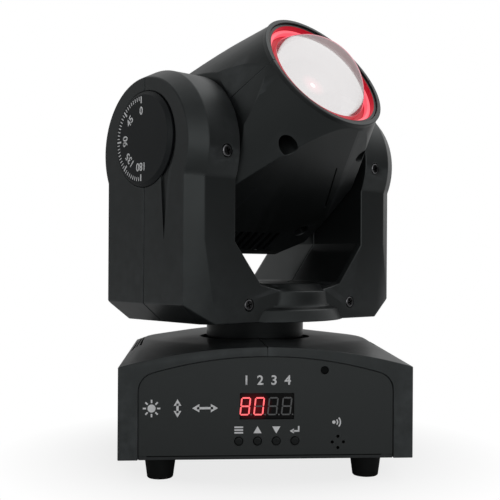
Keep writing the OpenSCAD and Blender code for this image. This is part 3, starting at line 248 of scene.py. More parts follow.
def add(tree, kind, settings=None, **inputs):
    """Adds a node, sets its properties, and sets or links its inputs."""
    node = tree.nodes.new(kind)
    for key, value in (settings or {}).items():
        setattr(node, key, value)
    for key, value in inputs.items():
        by_index = key[0] == "i" and key[1:].isdigit()
        socket = node.inputs[int(key[1:]) if by_index else key.replace("_", " ")]
        if isinstance(value, bpy.types.NodeSocket):
            tree.links.new(value, socket)
        else:
            socket.default_value = value
    return node


def object_point(tree):
    return add(tree, "ShaderNodeTexCoord").outputs["Object"]


def noise(tree, point, scale, detail=3.0, roughness=0.55):
    cloud = add(tree, "ShaderNodeTexNoise", Vector=point, Scale=scale, Detail=detail, Roughness=roughness)
    return cloud.outputs["Fac"]


def spread(tree, value, low, high, start=0.3, end=0.7):
    """Maps a value that runs from start to end to one that runs from low to high."""
    mapped = add(tree, "ShaderNodeMapRange", Value=value, From_Min=start, From_Max=end,
                 To_Min=low, To_Max=high)
    return mapped.outputs["Result"]


def shades(tree, factor, stops):
    ramp = add(tree, "ShaderNodeValToRGB", Fac=factor)
    while len(ramp.color_ramp.elements) < len(stops):
        ramp.color_ramp.elements.new(0.5)
    for element, (position, colour) in zip(ramp.color_ramp.elements, stops):
        element.position = position
        element.color = (*colour, 1)
    return ramp.outputs["Color"]


def tinted(colour, amount):
    return tuple(min(1, channel * amount) for channel in colour)


def axis_distance(tree, point, origin, axis):
    """Distance of a point from an axis, for finishes that run in rings."""
    arm = add(tree, "ShaderNodeVectorMath", {"operation": "SUBTRACT"}, i0=point, i1=origin).outputs[0]
    along = add(tree, "ShaderNodeVectorMath", {"operation": "DOT_PRODUCT"}, i0=arm, i1=axis).outputs["Value"]
    run = add(tree, "ShaderNodeVectorMath", {"operation": "SCALE"}, i0=axis, Scale=along).outputs[0]
    off = add(tree, "ShaderNodeVectorMath", {"operation": "SUBTRACT"}, i0=arm, i1=run).outputs[0]
    return add(tree, "ShaderNodeVectorMath", {"operation": "LENGTH"}, i0=off).outputs["Value"]


# Tint of the gloss on mouldings
GLOSS_TINT = (0.92, 1.0, 1.0, 1)

# How fine the unevenness of the finishes is, in steps a metre
MOTTLE_SCALE = 28
SMUDGE_SCALE = 46
HAZE_SCALE = 60
RUB_HIGHLIGHT_SCALE = 160
TRACK_SCALE = 140
WINDOW_SCALE = 120
MASK_SCALE = 220
GLOW_SCALE = 300
DUST_SCALE = 380
RIPPLE_SCALE = 420
SEGMENT_SCALE = 700

# Depths of a grain and of brush marks and the unevenness of a lit ring, in millimetres
GRAIN_DEPTH = 0.06
BRUSH_DEPTH = 0.05
RING_RIPPLE = 0.3

# How sharp an edge is where the rubbed lightening, partly a painted edge highlight, starts and where it is full,
# as Pointiness
RUB_HIGHLIGHT_START = 0.505
RUB_HIGHLIGHT_FULL = 0.56


def rubbed(tree, point, colour_out, worn_and_highlit):
    """Mixes a lighter colour into a finish unevenly along outer edges: rubbing by handling, and a painted edge
    highlight.
    """
    pointed = add(tree, "ShaderNodeNewGeometry").outputs["Pointiness"]
    uneven = spread(tree, noise(tree, point, RUB_HIGHLIGHT_SCALE, 4), 0.25, 1)
    edges = spread(tree, pointed, 0, 1, RUB_HIGHLIGHT_START, RUB_HIGHLIGHT_FULL)
    rub_and_highlight = add(tree, "ShaderNodeMath", {"operation": "MULTIPLY"}, i0=edges, i1=uneven).outputs[0]
    return add(tree, "ShaderNodeMix", {"data_type": "RGBA"}, i0=rub_and_highlight, i6=colour_out, i7=(*worn_and_highlit, 1)).outputs[2]


def moulded(name, colour, roughness, grain=0.2, grain_scale=2200, specular=0.5, worn_and_highlit=None):
    """Moulded plastic or rubber: faint mottling, a fine spark-eroded grain, and edges rubbed lighter, partly a
    painted edge highlight.
    """
    material, tree, shader = new_finish(name)
    point = object_point(tree)
    mottle = noise(tree, point, MOTTLE_SCALE, 4)
    colour_out = shades(tree, mottle, [(0.3, tinted(colour, 0.94)), (0.7, tinted(colour, 1.06))])
    if worn_and_highlit:
        colour_out = rubbed(tree, point, colour_out, worn_and_highlit)
    fine = noise(tree, point, grain_scale, 2)
    smudge = noise(tree, point, SMUDGE_SCALE, 5, 0.62)
    tree.links.new(colour_out, shader.inputs["Base Color"])
    tree.links.new(spread(tree, smudge, roughness - 0.02, roughness + 0.03), shader.inputs["Roughness"])
    bump = add(tree, "ShaderNodeBump", Strength=grain, Distance=GRAIN_DEPTH * MM, Height=fine)
    tree.links.new(bump.outputs[0], shader.inputs["Normal"])
    shader.inputs["Specular IOR Level"].default_value = specular
    shader.inputs["Specular Tint"].default_value = GLOSS_TINT
    return material


def metal(name, colour, roughness, brush=(900, 900, 60), scratches=0.15, worn_and_highlit=None):
    """Metal with brush marks along one way and a little haze, and edges rubbed bright where asked, partly painted
    glints.
    """
    material, tree, shader = new_finish(name)
    point = object_point(tree)
    drawn = add(tree, "ShaderNodeMapping", Vector=point, Scale=brush).outputs[0]
    streaks = noise(tree, drawn, 1.0, 3)
    haze = noise(tree, point, HAZE_SCALE, 4)
    colour_out = shades(tree, haze, [(0.3, tinted(colour, 0.82)), (0.7, tinted(colour, 1.08))])
    if worn_and_highlit:
        colour_out = rubbed(tree, point, colour_out, worn_and_highlit)
    tree.links.new(colour_out, shader.inputs["Base Color"])
    tree.links.new(spread(tree, streaks, roughness - 0.08, roughness + 0.12), shader.inputs["Roughness"])
    bump = add(tree, "ShaderNodeBump", Strength=scratches, Distance=BRUSH_DEPTH * MM, Height=streaks)
    tree.links.new(bump.outputs[0], shader.inputs["Normal"])
    shader.inputs["Metallic"].default_value = 1
    return material


def circuit_board(name, mask, copper):
    """Green solder mask over a grid of copper tracks."""
    material, tree, shader = new_finish(name)
    point = object_point(tree)
    tracks = add(tree, "ShaderNodeTexBrick", Vector=point, Color1=(*mask, 1), Color2=(*tinted(mask, 1.3), 1),
                 Mortar=(*copper, 1), Scale=TRACK_SCALE, Mortar_Size=0.035).outputs["Color"]
    tree.links.new(tracks, shader.inputs["Base Color"])
    tree.links.new(spread(tree, noise(tree, point, MASK_SCALE), 0.3, 0.5), shader.inputs["Roughness"])
    return material


def lens_glass(name, spot=None, rim_reflection=None):
    """Faintly dusty glass, with a painted highlight of the source where a spot is given, and a painted reflection
    of the lit ring at its outline where its stops are given.
    """
    material, tree, shader = new_finish(name)
    point = object_point(tree)
    dust = noise(tree, point, DUST_SCALE, 5, 0.7)
    tree.links.new(spread(tree, dust, 0.0, 0.05, 0.45, 0.8), shader.inputs["Roughness"])
    if spot:
        reach = axis_distance(tree, point, spot, BEAM)
        glow = shades(tree, spread(tree, reach, 0, 1, 0, PAINTED_HIGHLIGHT_REACH * MM), PAINTED_HIGHLIGHT_STOPS)
        tree.links.new(glow, shader.inputs["Emission Color"])
        shader.inputs["Emission Strength"].default_value = 1
    if rim_reflection:
        facing = add(tree, "ShaderNodeLayerWeight", Blend=0.5).outputs["Facing"]
        tree.links.new(shades(tree, facing, rim_reflection), shader.inputs["Emission Color"])
        shader.inputs["Emission Strength"].default_value = 1
    shader.inputs["Base Color"].default_value = LENS_TINT
    shader.inputs["Transmission Weight"].default_value = 1
    shader.inputs["IOR"].default_value = LENS_INDEX
    return material


def ring_glow(name, colour, stops, strength, roughness=0.35, specular=0.3):
    """A surface lit in rings: the glow's colour at some distances in millimetres from the beam's axis; on parts
    that are no lamp, the glow is painted light of the lit ring.
    """
    material, tree, shader = new_finish(name)
    point = object_point(tree)
    reach = axis_distance(tree, point, PIVOT, BEAM)
    first, last = stops[0][0], stops[-1][0]
    ripple = add(tree, "ShaderNodeMath", {"operation": "MULTIPLY_ADD"},
                 i0=noise(tree, point, RIPPLE_SCALE, 2), i1=RING_RIPPLE * MM, i2=reach).outputs[0]
    share = spread(tree, ripple, 0, 1, (first + RING_RIPPLE / 2) * MM, (last + RING_RIPPLE / 2) * MM)
    glow = shades(tree, share, [((reach_mm - first) / (last - first), shade) for reach_mm, shade in stops])
    mottle = noise(tree, point, HAZE_SCALE)
    colour_out = shades(tree, mottle, [(0.3, tinted(colour, 0.85)), (0.7, colour)])
    tree.links.new(colour_out, shader.inputs["Base Color"])
    tree.links.new(glow, shader.inputs["Emission Color"])
    shader.inputs["Emission Strength"].default_value = strength
    tree.links.new(spread(tree, mottle, roughness - 0.05, roughness + 0.1), shader.inputs["Roughness"])
    shader.inputs["Specular IOR Level"].default_value = specular
    return material


def lit_print(name, colour, strength):
    """Glowing display segments, slightly uneven."""
    material, tree, shader = new_finish(name)
    point = object_point(tree)
    uneven = shades(tree, noise(tree, point, SEGMENT_SCALE, 2), [(0.25, tinted(colour, 0.8)), (0.75, colour)])
    tree.links.new(uneven, shader.inputs["Base Color"])
    tree.links.new(uneven, shader.inputs["Emission Color"])
    shader.inputs["Emission Strength"].default_value = strength
    tree.links.new(spread(tree, noise(tree, point, GLOW_SCALE), 0.3, 0.45), shader.inputs["Roughness"])
    return material


def smoked_window(name, lit_middle, lit_half):
    """Dark display window with a painted red glow behind its lit digits."""
    material, tree, shader = new_finish(name)
    point = object_point(tree)
    away = add(tree, "ShaderNodeVectorMath", {"operation": "SUBTRACT"}, i0=point, i1=lit_middle).outputs[0]
    spot = add(tree, "ShaderNodeVectorMath", {"operation": "DIVIDE"}, i0=away, i1=lit_half).outputs[0]
    reach = add(tree, "ShaderNodeVectorMath", {"operation": "LENGTH"}, i0=spot).outputs["Value"]
    uneven = add(tree, "ShaderNodeMath", {"operation": "MULTIPLY_ADD"},
                 i0=noise(tree, point, GLOW_SCALE), i1=GLOW_UNEVENNESS, i2=reach).outputs[0]
    glow = shades(tree, spread(tree, uneven, 0, 1, GLOW_CORE, GLOW_END), WINDOW_STOPS)
    tree.links.new(glow, shader.inputs["Emission Color"])
    shader.inputs["Emission Strength"].default_value = 1
    shader.inputs["Base Color"].default_value = (0.003, 0.003, 0.003, 1)
    shader.inputs["Specular IOR Level"].default_value = 0.15
    tree.links.new(spread(tree, noise(tree, point, WINDOW_SCALE), 0.12, 0.25), shader.inputs["Roughness"])
    return material


UNLIT = (0.0, 0.0, 0.0)

# Display digits, in millimetres, and the painted red glow behind the lit ones, in shares of its half size
DIGIT_PITCH = 7.3
DIGIT_W = 4.5
DIGIT_H = 8.8
BAR_W = 0.75
display_low, display_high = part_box("display_module")
DISPLAY_Z = (display_low.z + display_high.z) / 2
LIT_MIDDLE = Vector((-DIGIT_PITCH * MM, display_low.y, DISPLAY_Z))
LIT_HALF = Vector((9.0, 9.0, 7.5)) * MM
GLOW_UNEVENNESS = 0.3
GLOW_CORE = 0.5
GLOW_END = 1.3
WINDOW_STOPS = [(0.0, (0.075, 0.0, 0.002)), (0.5, (0.03, 0.0, 0.001)), (1.0, UNLIT)]

# Painted highlight of the source on the back of the lens: its offsets in the lens's plane and its reach, in
# millimetres
PAINTED_HIGHLIGHT_SIDE = -5.5
PAINTED_HIGHLIGHT_BROW = -4.4
PAINTED_HIGHLIGHT_AT = PIVOT + (PAINTED_HIGHLIGHT_SIDE * SIDE + PAINTED_HIGHLIGHT_BROW * BROW) * MM
PAINTED_HIGHLIGHT_REACH = 7.0
PAINTED_HIGHLIGHT_STOPS = [(0.0, (1.0, 0.9, 0.9)), (0.12, (0.9, 0.7, 0.7)), (0.22, (0.16, 0.03, 0.04)), (1.0, UNLIT)]
# Painted reflection of the lit ring along the front lens's outline
RIM_REFLECTION_STOPS = [(0.0, UNLIT), (0.80, UNLIT), (0.97, (0.62, 0.10, 0.16))]
LENS_TINT = (0.82, 0.80, 0.80, 1)
LENS_INDEX = 1.35

CHARCOAL = (0.0076, 0.0085, 0.0087)
# The shells' lighter rubbed edges are partly painted edge highlight
shell_plastic = moulded("shell_plastic", CHARCOAL, 0.33, worn_and_highlit=(0.035, 0.038, 0.04))
panel_plastic = moulded("panel_plastic", (0.0112, 0.0118, 0.0120), 0.40, grain=0.12)
cover_plastic = moulded("cover_plastic", (0.0062, 0.0068, 0.0080), 0.46, grain=0.15, specular=0.32)
neck_plastic = moulded("neck_plastic", (0.0025, 0.0025, 0.003), 0.20, grain=0.06, specular=0.16)
socket_plastic = moulded("socket_plastic", (0.005, 0.005, 0.005), 0.30, grain=0.1)
rubber = moulded("rubber", (0.005, 0.005, 0.005), 0.6, grain=0.35, grain_scale=1400, specular=0.2)
plate_paint = moulded("plate_paint", (0.009, 0.009, 0.010), 0.48, grain=0.4, grain_scale=900)
motor_paint = moulded("motor_paint", (0.020, 0.020, 0.021), 0.42, grain=0.2)
button_plastic = moulded("button_plastic", (0.0022, 0.0022, 0.0024), 0.30, grain=0.05, specular=0.3)
black_hole = moulded("black_hole", (0.0015, 0.0015, 0.0015), 0.6, grain=0.1, specular=0.1)
sheet_steel = metal("sheet_steel", (0.52, 0.53, 0.54), 0.34, (40, 900, 900))
bearing_steel = metal("bearing_steel", (0.62, 0.62, 0.63), 0.24, (700, 700, 700), 0.1)
# The screws' bright rubbed edges are partly painted glints
screw_steel = metal("screw_steel", (0.045, 0.045, 0.047), 0.18, (700, 700, 700), 0.1,
                    worn_and_highlit=(0.55, 0.55, 0.57))
aluminium = metal("aluminium", (0.70, 0.71, 0.72), 0.36, (900, 900, 90))
pin_brass = metal("pin_brass", (0.70, 0.50, 0.22), 0.28, (900, 90, 900))
board_green = circuit_board("board_green", (0.012, 0.09, 0.035), (0.05, 0.16, 0.05))
clear_lens = lens_glass("clear_lens", rim_reflection=RIM_REFLECTION_STOPS)
lens_back_glass = lens_glass("lens_back_glass", PAINTED_HIGHLIGHT_AT)
window_dark = smoked_window("window_dark", LIT_MIDDLE, LIT_HALF)
pale_print = moulded("pale_print", (0.78, 0.79, 0.80), 0.5, grain=0.1, specular=0.3)
digit_lit = lit_print("digit_lit", (1.0, 0.13, 0.14), 1.3)
digit_dim = moulded("digit_dim", (0.11, 0.11, 0.112), 0.45, grain=0.05)

# Lit rings round the lens: stops are a distance from the beam's axis in millimetres and a colour. The halo ring is
# the lamp; on the bezel, the lens holder and the lens edge the glow is painted light of the ring.
HALO_RED = (0.46, 0.0, 0.012)
HALO_PINK = (1.0, 0.17, 0.21)
HOLDER_GLOW_MAUVE = (0.21, 0.11, 0.115)
EDGE_GLOW_RED = (0.16, 0.03, 0.035)
HALO_STOPS = [(34.0, (1.0, 0.10, 0.14)), (34.6, HALO_PINK), (36.0, HALO_PINK), (36.5, (0.9, 0.05, 0.08))]
BEZEL_STOPS = [(36.4, HALO_RED), (36.62, HALO_RED), (36.85, UNLIT), (38.6, UNLIT)]
HOLDER_STOPS = [(20.0, tinted(HOLDER_GLOW_MAUVE, 0.6)), (28.6, HOLDER_GLOW_MAUVE), (29.6, HOLDER_GLOW_MAUVE), (30.9, HALO_RED),
                (36.4, HALO_RED)]
LENS_EDGE_STOPS = [(30.0, EDGE_GLOW_RED), (31.2, EDGE_GLOW_RED)]
halo_glow = ring_glow("halo_glow", (0.3, 0.05, 0.06), HALO_STOPS, 1.0)
bezel_glow = ring_glow("bezel_glow", CHARCOAL, BEZEL_STOPS, 0.85, specular=0.5)
holder_glow = ring_glow("holder_glow", (0.05, 0.03, 0.03), HOLDER_STOPS, 1.0)
lens_edge = ring_glow("lens_edge", (0.6, 0.3, 0.32), LENS_EDGE_STOPS, 0.8)

SLOT_FINISHES = {
    "shell_plastic": shell_plastic, "panel_plastic": panel_plastic, "neck_plastic": neck_plastic,
    "socket_plastic": socket_plastic, "rubber": rubber, "plate_steel": plate_paint,
    "sheet_steel": sheet_steel, "screw_steel": screw_steel, "motor_steel": motor_paint,
    "aluminium": aluminium, "board_green": board_green, "pin_brass": pin_brass, "lens_glass": clear_lens,
    "window_dark": window_dark, "halo_glow": halo_glow,
}
BUTTONS = ("button_menu", "button_up", "button_down", "button_enter")
NODE_FINISHES = {
    "mic_capsule": black_hole, "sensor_window": black_hole, "pan_bearing": bearing_steel,
    "tilt_bearing_left": bearing_steel, "tilt_bearing_right": bearing_steel,
}
NODE_FINISHES.update({button: button_plastic for button in BUTTONS})

# Every node takes its own finish or that of its slot; those that show are dressed below
bodies = frame["record"]["behaviour"]["bodies"]
body_of_node = {node: body for body, members in bodies.items() for node in members}
slot_of_node = {entry["node"]: entry["material_slot"] for entry in frame["record"]["subparts"]}


def finish_of(node):
    return NODE_FINISHES.get(node, SLOT_FINISHES[slot_of_node[node]])


for node, solid in nodes.items():
    if not solid.material_slots:
        solid.data.materials.append(finish_of(node))
    for material_slot in solid.material_slots:
        material_slot.material = finish_of(node)


def dress_node(node, material=None, **edges):
    return dress(node, body_of_node[node], slot_of_node[node], material or finish_of(node), **edges)


# Pieces that show, with edges rounded by so many millimetres; panels and the grille keep the solids' edges
dress_node("base_cover", edge=0.45, steps=3, rim_reach=70.0)
for node in ("yoke_front_shell", "yoke_rear_shell"):
    dress_node(node, edge=0.6, crease=18, steps=3)
for node in ("head_upper_shell", "head_lower_shell"):
    dress_node(node, edge=0.4, crease=18, steps=3, crisp=10, rim_reach=8.0)
for node in ("front_panel", "rear_panel"):
    dress_node(node, edge=0)
dress_node("head_rear_cover", edge=0, crisp=10)
for node in ("arm_disc_left", "arm_disc_right"):
    dress_node(node, material=cover_plastic, edge=0.25)
for node in ("pan_shaft", "halo_ring", "trunnion_left", "trunnion_right", "fan_frame", "fan_rotor"):
    dress_node(node, edge=0.2)
for node in ("power_inlet", "dmx_in_socket", "dmx_out_socket", "base_bottom_plate", "sensor_window",
             "socket_pins"):
    dress_node(node, edge=0.25)
for node in BUTTONS:
    dress_node(node, edge=0.7, steps=4)
dress_node("display_module", edge=0.15)
dress_node("rubber_feet", edge=0.9, steps=3)
dress_node("front_bezel", material=bezel_glow, edge=0.3)
dress_node("lens_holder", material=holder_glow, edge=0.2)


# Screws: a domed head with a cross recess and a plain shank, on the seats of the screws they stand for


def axis_seats(node, axes):
    """For each screw of a node: the way out of its head, its head's top middle, its radius, its length."""
    parts = merged_copy(node, "parts")
    activate(parts)
    bpy.ops.object.mode_set(mode="EDIT")
    bpy.ops.mesh.separate(type="LOOSE")
    bpy.ops.object.mode_set(mode="OBJECT")
    seats = []
    for part in bpy.context.selected_objects:
        points = [vertex.co for vertex in part.data.vertices]
        runs = [(min(p.dot(axis) for p in points), max(p.dot(axis) for p in points)) for axis in axes]
        middle = sum((axis * (low + high) / 2 for axis, (low, high) in zip(axes, runs)), Vector())
        lengths = [(high - low, axis) for axis, (low, high) in zip(axes, runs)]
        length, way = max(lengths, key=lambda run: run[0])
        arms = [p - middle for p in points]
        radius, rim = max(((arm - way * arm.dot(way)).length, arm.dot(way)) for arm in arms)
        out = way if rim > 0 else -way
        seats.append((out, middle + out * length / 2, radius, length))
    bpy.ops.object.delete()
    return seats


# Screw heads: shares of their height and radius, and the cross's turn in degrees
DOME_SHARE = 0.45
DOME_STEPS = 5
CROSS_LENGTH = 1.15
CROSS_WIDTH = 0.24
CROSS_DEPTH = 1.5
CROSS_TURN = 20
SHANK_SHARE = 0.45
HEAD_SIDES = 48
SHANK_SIDES = 20


def screw_head(radius, height):
    """A domed screw head with its top in the plane Z = 0 and a cross recess in it."""
    deselect()
    bpy.ops.mesh.primitive_cylinder_add(vertices=HEAD_SIDES, radius=radius, depth=height,
                                        location=(0, 0, -height / 2))
    head = bpy.context.object
    place(head, Matrix())
    dome = head.modifiers.new("dome", "BEVEL")
    dome.width = DOME_SHARE * height
    dome.segments = DOME_STEPS
    dome.limit_method = "ANGLE"
    apply_modifiers(head)
    bars = []
    for turn in (0, math.pi / 2):
        deselect()
        bpy.ops.mesh.primitive_cube_add(size=1, rotation=(0, 0, turn + math.radians(CROSS_TURN)))
        bar = bpy.context.object
        bar.scale = (CROSS_LENGTH * radius, CROSS_WIDTH * radius, CROSS_DEPTH * height)
        place(bar, Matrix())
        bars.append(bar)
    for bar in bars:
        cross = head.modifiers.new("cross", "BOOLEAN")
        cross.object = bar
        cross.solver = "EXACT"
        apply_modifiers(head)
        bpy.data.objects.remove(bar)
    return head


def screw_set(node, axes, head_height=1.8):
    """Screws in place of a node's plain ones, all with the first one's head."""
    seats = axis_seats(node, axes)
    pattern = screw_head(seats[0][2], head_height * MM)
    heads_and_shanks = []
    for out, top, radius, length in seats:
        side = axes[0] if abs(out.dot(axes[0])) < 0.5 else axes[1]
        seat = axes_matrix(side, out.cross(side), out, top)
        head = copy_of(pattern)
        place(head, seat)
        deselect()
        bpy.ops.mesh.primitive_cylinder_add(vertices=SHANK_SIDES, radius=SHANK_SHARE * radius,
                                            depth=length - head_height * MM,
                                            location=(0, 0, -(length + head_height * MM) / 2))
        shank = bpy.context.object
        place(shank, seat)
        heads_and_shanks += [head, shank]
    bpy.data.objects.remove(pattern)
    screws = join(heads_and_shanks, node + "_finish")
    smooth(screws)
    paint(screws, screw_steel)
    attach(screws, body_of_node[node])
    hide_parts(node)


WORLD_AXES = (Vector((1, 0, 0)), Vector((0, 1, 0)), UP)
screw_set("yoke_screws", (SIDE, BACK, UP))
screw_set("head_screws", (SIDE, BROW, BEAM))
screw_set("base_screws", WORLD_AXES)


# Front lens: a fine dome on a flat back, with a painted glow of the lit ring on its edge and a painted highlight
# of the source on its back
DOME_SEGMENTS = 128
DOME_RINGS = 144
LENS_FACES = (clear_lens, lens_back_glass, lens_edge)
BACK_FACE = 1
EDGE_FACE = 2
RIM_SHARE = 0.999
BACK_SLOPE = -0.9
EDGE_SLOPE = 0.1

lens_points = [HEAD.inverted() @ vertex.co for vertex in nodes["front_lens"].data.vertices]
lens_r = max(point.xy.length for point in lens_points)
lens_back = min(point.z for point in lens_points)
lens_apex = max(point.z for point in lens_points)
lens_rim = max(point.z for point in lens_points if point.xy.length > RIM_SHARE * lens_r)
dome_r = (lens_r ** 2 + (lens_apex - lens_rim) ** 2) / (2 * (lens_apex - lens_rim))
deselect()
bpy.ops.mesh.primitive_uv_sphere_add(segments=DOME_SEGMENTS, ring_count=DOME_RINGS, radius=dome_r,
                                     location=(0, 0, lens_apex - dome_r))
lens = bpy.context.object
lens.name = "front_lens_finish"
place(lens, Matrix())
activate(lens)
bpy.ops.object.mode_set(mode="EDIT")
bpy.ops.mesh.select_all(action="SELECT")
bpy.ops.mesh.bisect(plane_co=(0, 0, lens_rim), plane_no=(0, 0, 1), use_fill=True, clear_inner=True)
bpy.ops.mesh.extrude_region_move(TRANSFORM_OT_translate={"value": (0, 0, lens_back - lens_rim)})
bpy.ops.mesh.select_all(action="SELECT")
bpy.ops.mesh.normals_make_consistent(inside=False)
bpy.ops.object.mode_set(mode="OBJECT")
smooth(lens, 40)
for finish in LENS_FACES:
    lens.data.materials.append(finish)
for face in lens.data.polygons:
    if face.normal.z < BACK_SLOPE:
        face.material_index = BACK_FACE
    elif abs(face.normal.z) < EDGE_SLOPE:
        face.material_index = EDGE_FACE
place(lens, HEAD)
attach(lens, "head")
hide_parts("front_lens")


# Flat print and display segments

FRONT_RIGHT = Vector((1, 0, 0))
FRONT_OUT = Vector((0, -1, 0))
INK_DEPTH = 0.03 * MM
INK_HEIGHT = 0.05 * MM

# An arc's first strip in millimetres and its steps in degrees; figures' height and boldness as shares
STRIP_START = 0.02
STEP_DEGREES = 8
CAP_SHARE = 0.69
BOLDNESS = 0.03


def at_spot(centre, turn=0.0):
    """Moves a flat shape to a centre in millimetres, turned about it."""
    return Matrix.Translation((centre[0] * MM, centre[1] * MM, 0)) @ Matrix.Rotation(turn, 4, "Z")


def thicken(piece):
    """Gives a flat shape in the plane Z = 0 a thickness, with its face just proud of that plane."""
    activate(piece)
    bpy.ops.object.mode_set(mode="EDIT")
    bpy.ops.mesh.select_all(action="SELECT")
    bpy.ops.mesh.extrude_region_move(TRANSFORM_OT_translate={"value": (0, 0, INK_HEIGHT + INK_DEPTH)})
    bpy.ops.mesh.select_all(action="SELECT")
    bpy.ops.mesh.normals_make_consistent(inside=False)
    bpy.ops.object.mode_set(mode="OBJECT")
    place(piece, Matrix.Translation((0, 0, -INK_DEPTH)))
    return piece


def flat_bar(centre, size, turn=0.0, tip=0.0):
    """A flat bar in millimetres; with a tip, its ends are pointed by that much."""
    deselect()
    bpy.ops.mesh.primitive_plane_add(size=1)
    bar = bpy.context.object
    bar.scale = (size[0] * MM, size[1] * MM, 1)
    place(bar, Matrix())
    if tip:
        activate(bar)
        bpy.ops.object.mode_set(mode="EDIT")
        bpy.ops.mesh.select_mode(type="VERT")
        bpy.ops.mesh.select_all(action="SELECT")
        bpy.ops.mesh.bevel(affect="VERTICES", offset=tip * MM, segments=1)
        bpy.ops.object.mode_set(mode="OBJECT")
    place(bar, at_spot(centre, turn))
    return bar


def flat_disc(centre, radius, sides=32, turn=0.0):
    """A flat disc in millimetres; with three sides it is a triangle."""
    deselect()
    bpy.ops.mesh.primitive_circle_add(vertices=sides, radius=radius * MM, fill_type="NGON",
                                      rotation=(0, 0, turn))
    disc = bpy.context.object
    place(disc, at_spot(centre))
    return disc


def flat_arc(centre, radius, width, start, sweep):
    """A flat strip spun clockwise round a centre, from an angle, by a sweep, both in degrees."""
    deselect()
    bpy.ops.mesh.primitive_plane_add(size=1)
    arc = bpy.context.object
    arc.scale = (width * MM, STRIP_START * MM, 1)
    place(arc, Matrix.Translation((radius * MM, 0, 0)))
    activate(arc)
    bpy.ops.object.mode_set(mode="EDIT")
    bpy.ops.mesh.select_mode(type="EDGE")
    bpy.ops.mesh.select_all(action="DESELECT")
    bpy.ops.object.mode_set(mode="OBJECT")
    for edge in arc.data.edges:
        ends = [arc.data.vertices[index].co for index in edge.vertices]
        edge.select = all(end.y > 0 for end in ends)
    bpy.ops.object.mode_set(mode="EDIT")
    steps = int(sweep / STEP_DEGREES)
    bpy.ops.mesh.spin(steps=steps, angle=math.radians(sweep), center=(0, 0, 0), axis=(0, 0, 1))
    bpy.ops.mesh.select_all(action="SELECT")
    bpy.ops.mesh.remove_doubles(threshold=MERGE_GAP * MM)
    bpy.ops.object.mode_set(mode="OBJECT")
    place(arc, at_spot(centre, math.radians(start)))
    return arc


def flat_number(text, centre, height, turn=0.0):
    """A number in flat figures of this height in millimetres."""
    deselect()
    bpy.ops.object.text_add()
    number = bpy.context.object
    number.data.body = text
    number.data.size = height / CAP_SHARE * MM
    number.data.align_x = "CENTER"
    number.data.align_y = "CENTER"
    number.data.offset = BOLDNESS * height * MM
    activate(number)
    bpy.ops.object.convert(target="MESH")
    number = bpy.context.object
    place(number, at_spot(centre, turn))
    return number


def lay_print(shapes, name, face, body, finish):
    """Joins flat shapes into one print, lays it on a face and lets it ride on a body."""
    ink = join([thicken(shape) for shape in shapes], name)
    place(ink, face)
    paint(ink, finish)
    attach(ink, body)
    return ink


def front_face(y, z=0.0):
    """The plane of a front face at this Y, with its origin at this Z."""
    return axes_matrix(FRONT_RIGHT, UP, FRONT_OUT, Vector((0, y, z)))


# Four-digit display: two digits lit, two at rest; the bars run round from the top, and the middle one is last
DIGIT_WAYS = ((0, 1), (1, 0.5), (1, -0.5), (0, -1), (-1, -0.5), (-1, 0.5), (0, 0))
LIT_SEGMENTS = ("1111111", "1111110", "0000000", "0000000")
DIGIT_SLANT = math.tan(math.radians(6))
DIGITS_SHIFT = 0.5
BAR_GAP = 0.3
BAR_TIP = 0.45 * BAR_W
POINT_R = 0.42
POINT_GAP = 0.9
MIDDLE_DIGIT = (len(LIT_SEGMENTS) - 1) / 2


def digit_segments(digit):
    """The flat bars and the point of a digit, each with whether it is lit."""
    slant = Matrix(((1, DIGIT_SLANT, 0, 0), (0, 1, 0, 0), (0, 0, 1, 0), (0, 0, 0, 1)))
    middle = (digit - MIDDLE_DIGIT) * DIGIT_PITCH - DIGITS_SHIFT
    bars = []
    for (across, up), state in zip(DIGIT_WAYS, LIT_SEGMENTS[digit]):
        lying = across == 0
        length = DIGIT_W - BAR_GAP if lying else DIGIT_H / 2 - BAR_GAP
        spot = (across * DIGIT_W / 2, up * DIGIT_H / 2)
        bar = flat_bar(spot, (length, BAR_W), 0 if lying else math.pi / 2, BAR_TIP)
        place(bar, slant)
        place(bar, at_spot((middle, 0)))
        bars.append((bar, state == "1"))
    bars.append((flat_disc((middle + DIGIT_W / 2 + POINT_GAP, -DIGIT_H / 2), POINT_R, 16), False))
    return bars


segments = [bar for digit in range(len(LIT_SEGMENTS)) for bar in digit_segments(digit)]
display_face = front_face(display_low.y, DISPLAY_Z)
lay_print([bar for bar, lit in segments if lit], "display_digits_lit", display_face, "base", digit_lit)
lay_print([bar for bar, lit in segments if not lit], "display_digits_dim", display_face, "base", digit_dim)

# Front panel print, in millimetres: numbers over the digits, signs over the buttons and the microphone, and
# three plain signs on the left
PANEL_FACE_Y = -84.1 * MM
STROKE = 0.85
NUMBER_Z = 41.3
NUMBER_H = 4.8
BUTTON_SIGN_Z = 15.4
MENU_BAR = 4.6
MENU_STEP = 1.45
TRIANGLE_R = 2.5
TRIANGLE_SHIFT = 0.5
ENTER_STEP = 0.7
ENTER_BAR = 3.6
ENTER_BAR_SHIFT = 0.6
ENTER_POST = 2.4
ENTER_POST_SHIFT = 2.0
ENTER_TIP_R = 1.5
ENTER_TIP_SHIFT = -1.3
MIC_SIGN_Z = 19.2
MIC_SIGN_SHIFT = 2.2
MIC_DOT_R = 0.9
MIC_WAVES = (2.0, 3.5)
MIC_WAVE_W = 0.7
MIC_WAVE_START = 42
MIC_WAVE_SWEEP = 84
SIGN_Z = 27.0
SUN_X = -60.5
UPRIGHT_X = -47.0
LYING_X = -32.6
SUN_R = 2.1
RAY_R = 3.7
RAY_LENGTH = 1.7
RAY_COUNT = 8
UPRIGHT_ARROW = (9.6, 2.3)
LYING_ARROW = (13.5, 2.5)
ARROW_STROKE = 1.4 * STROKE


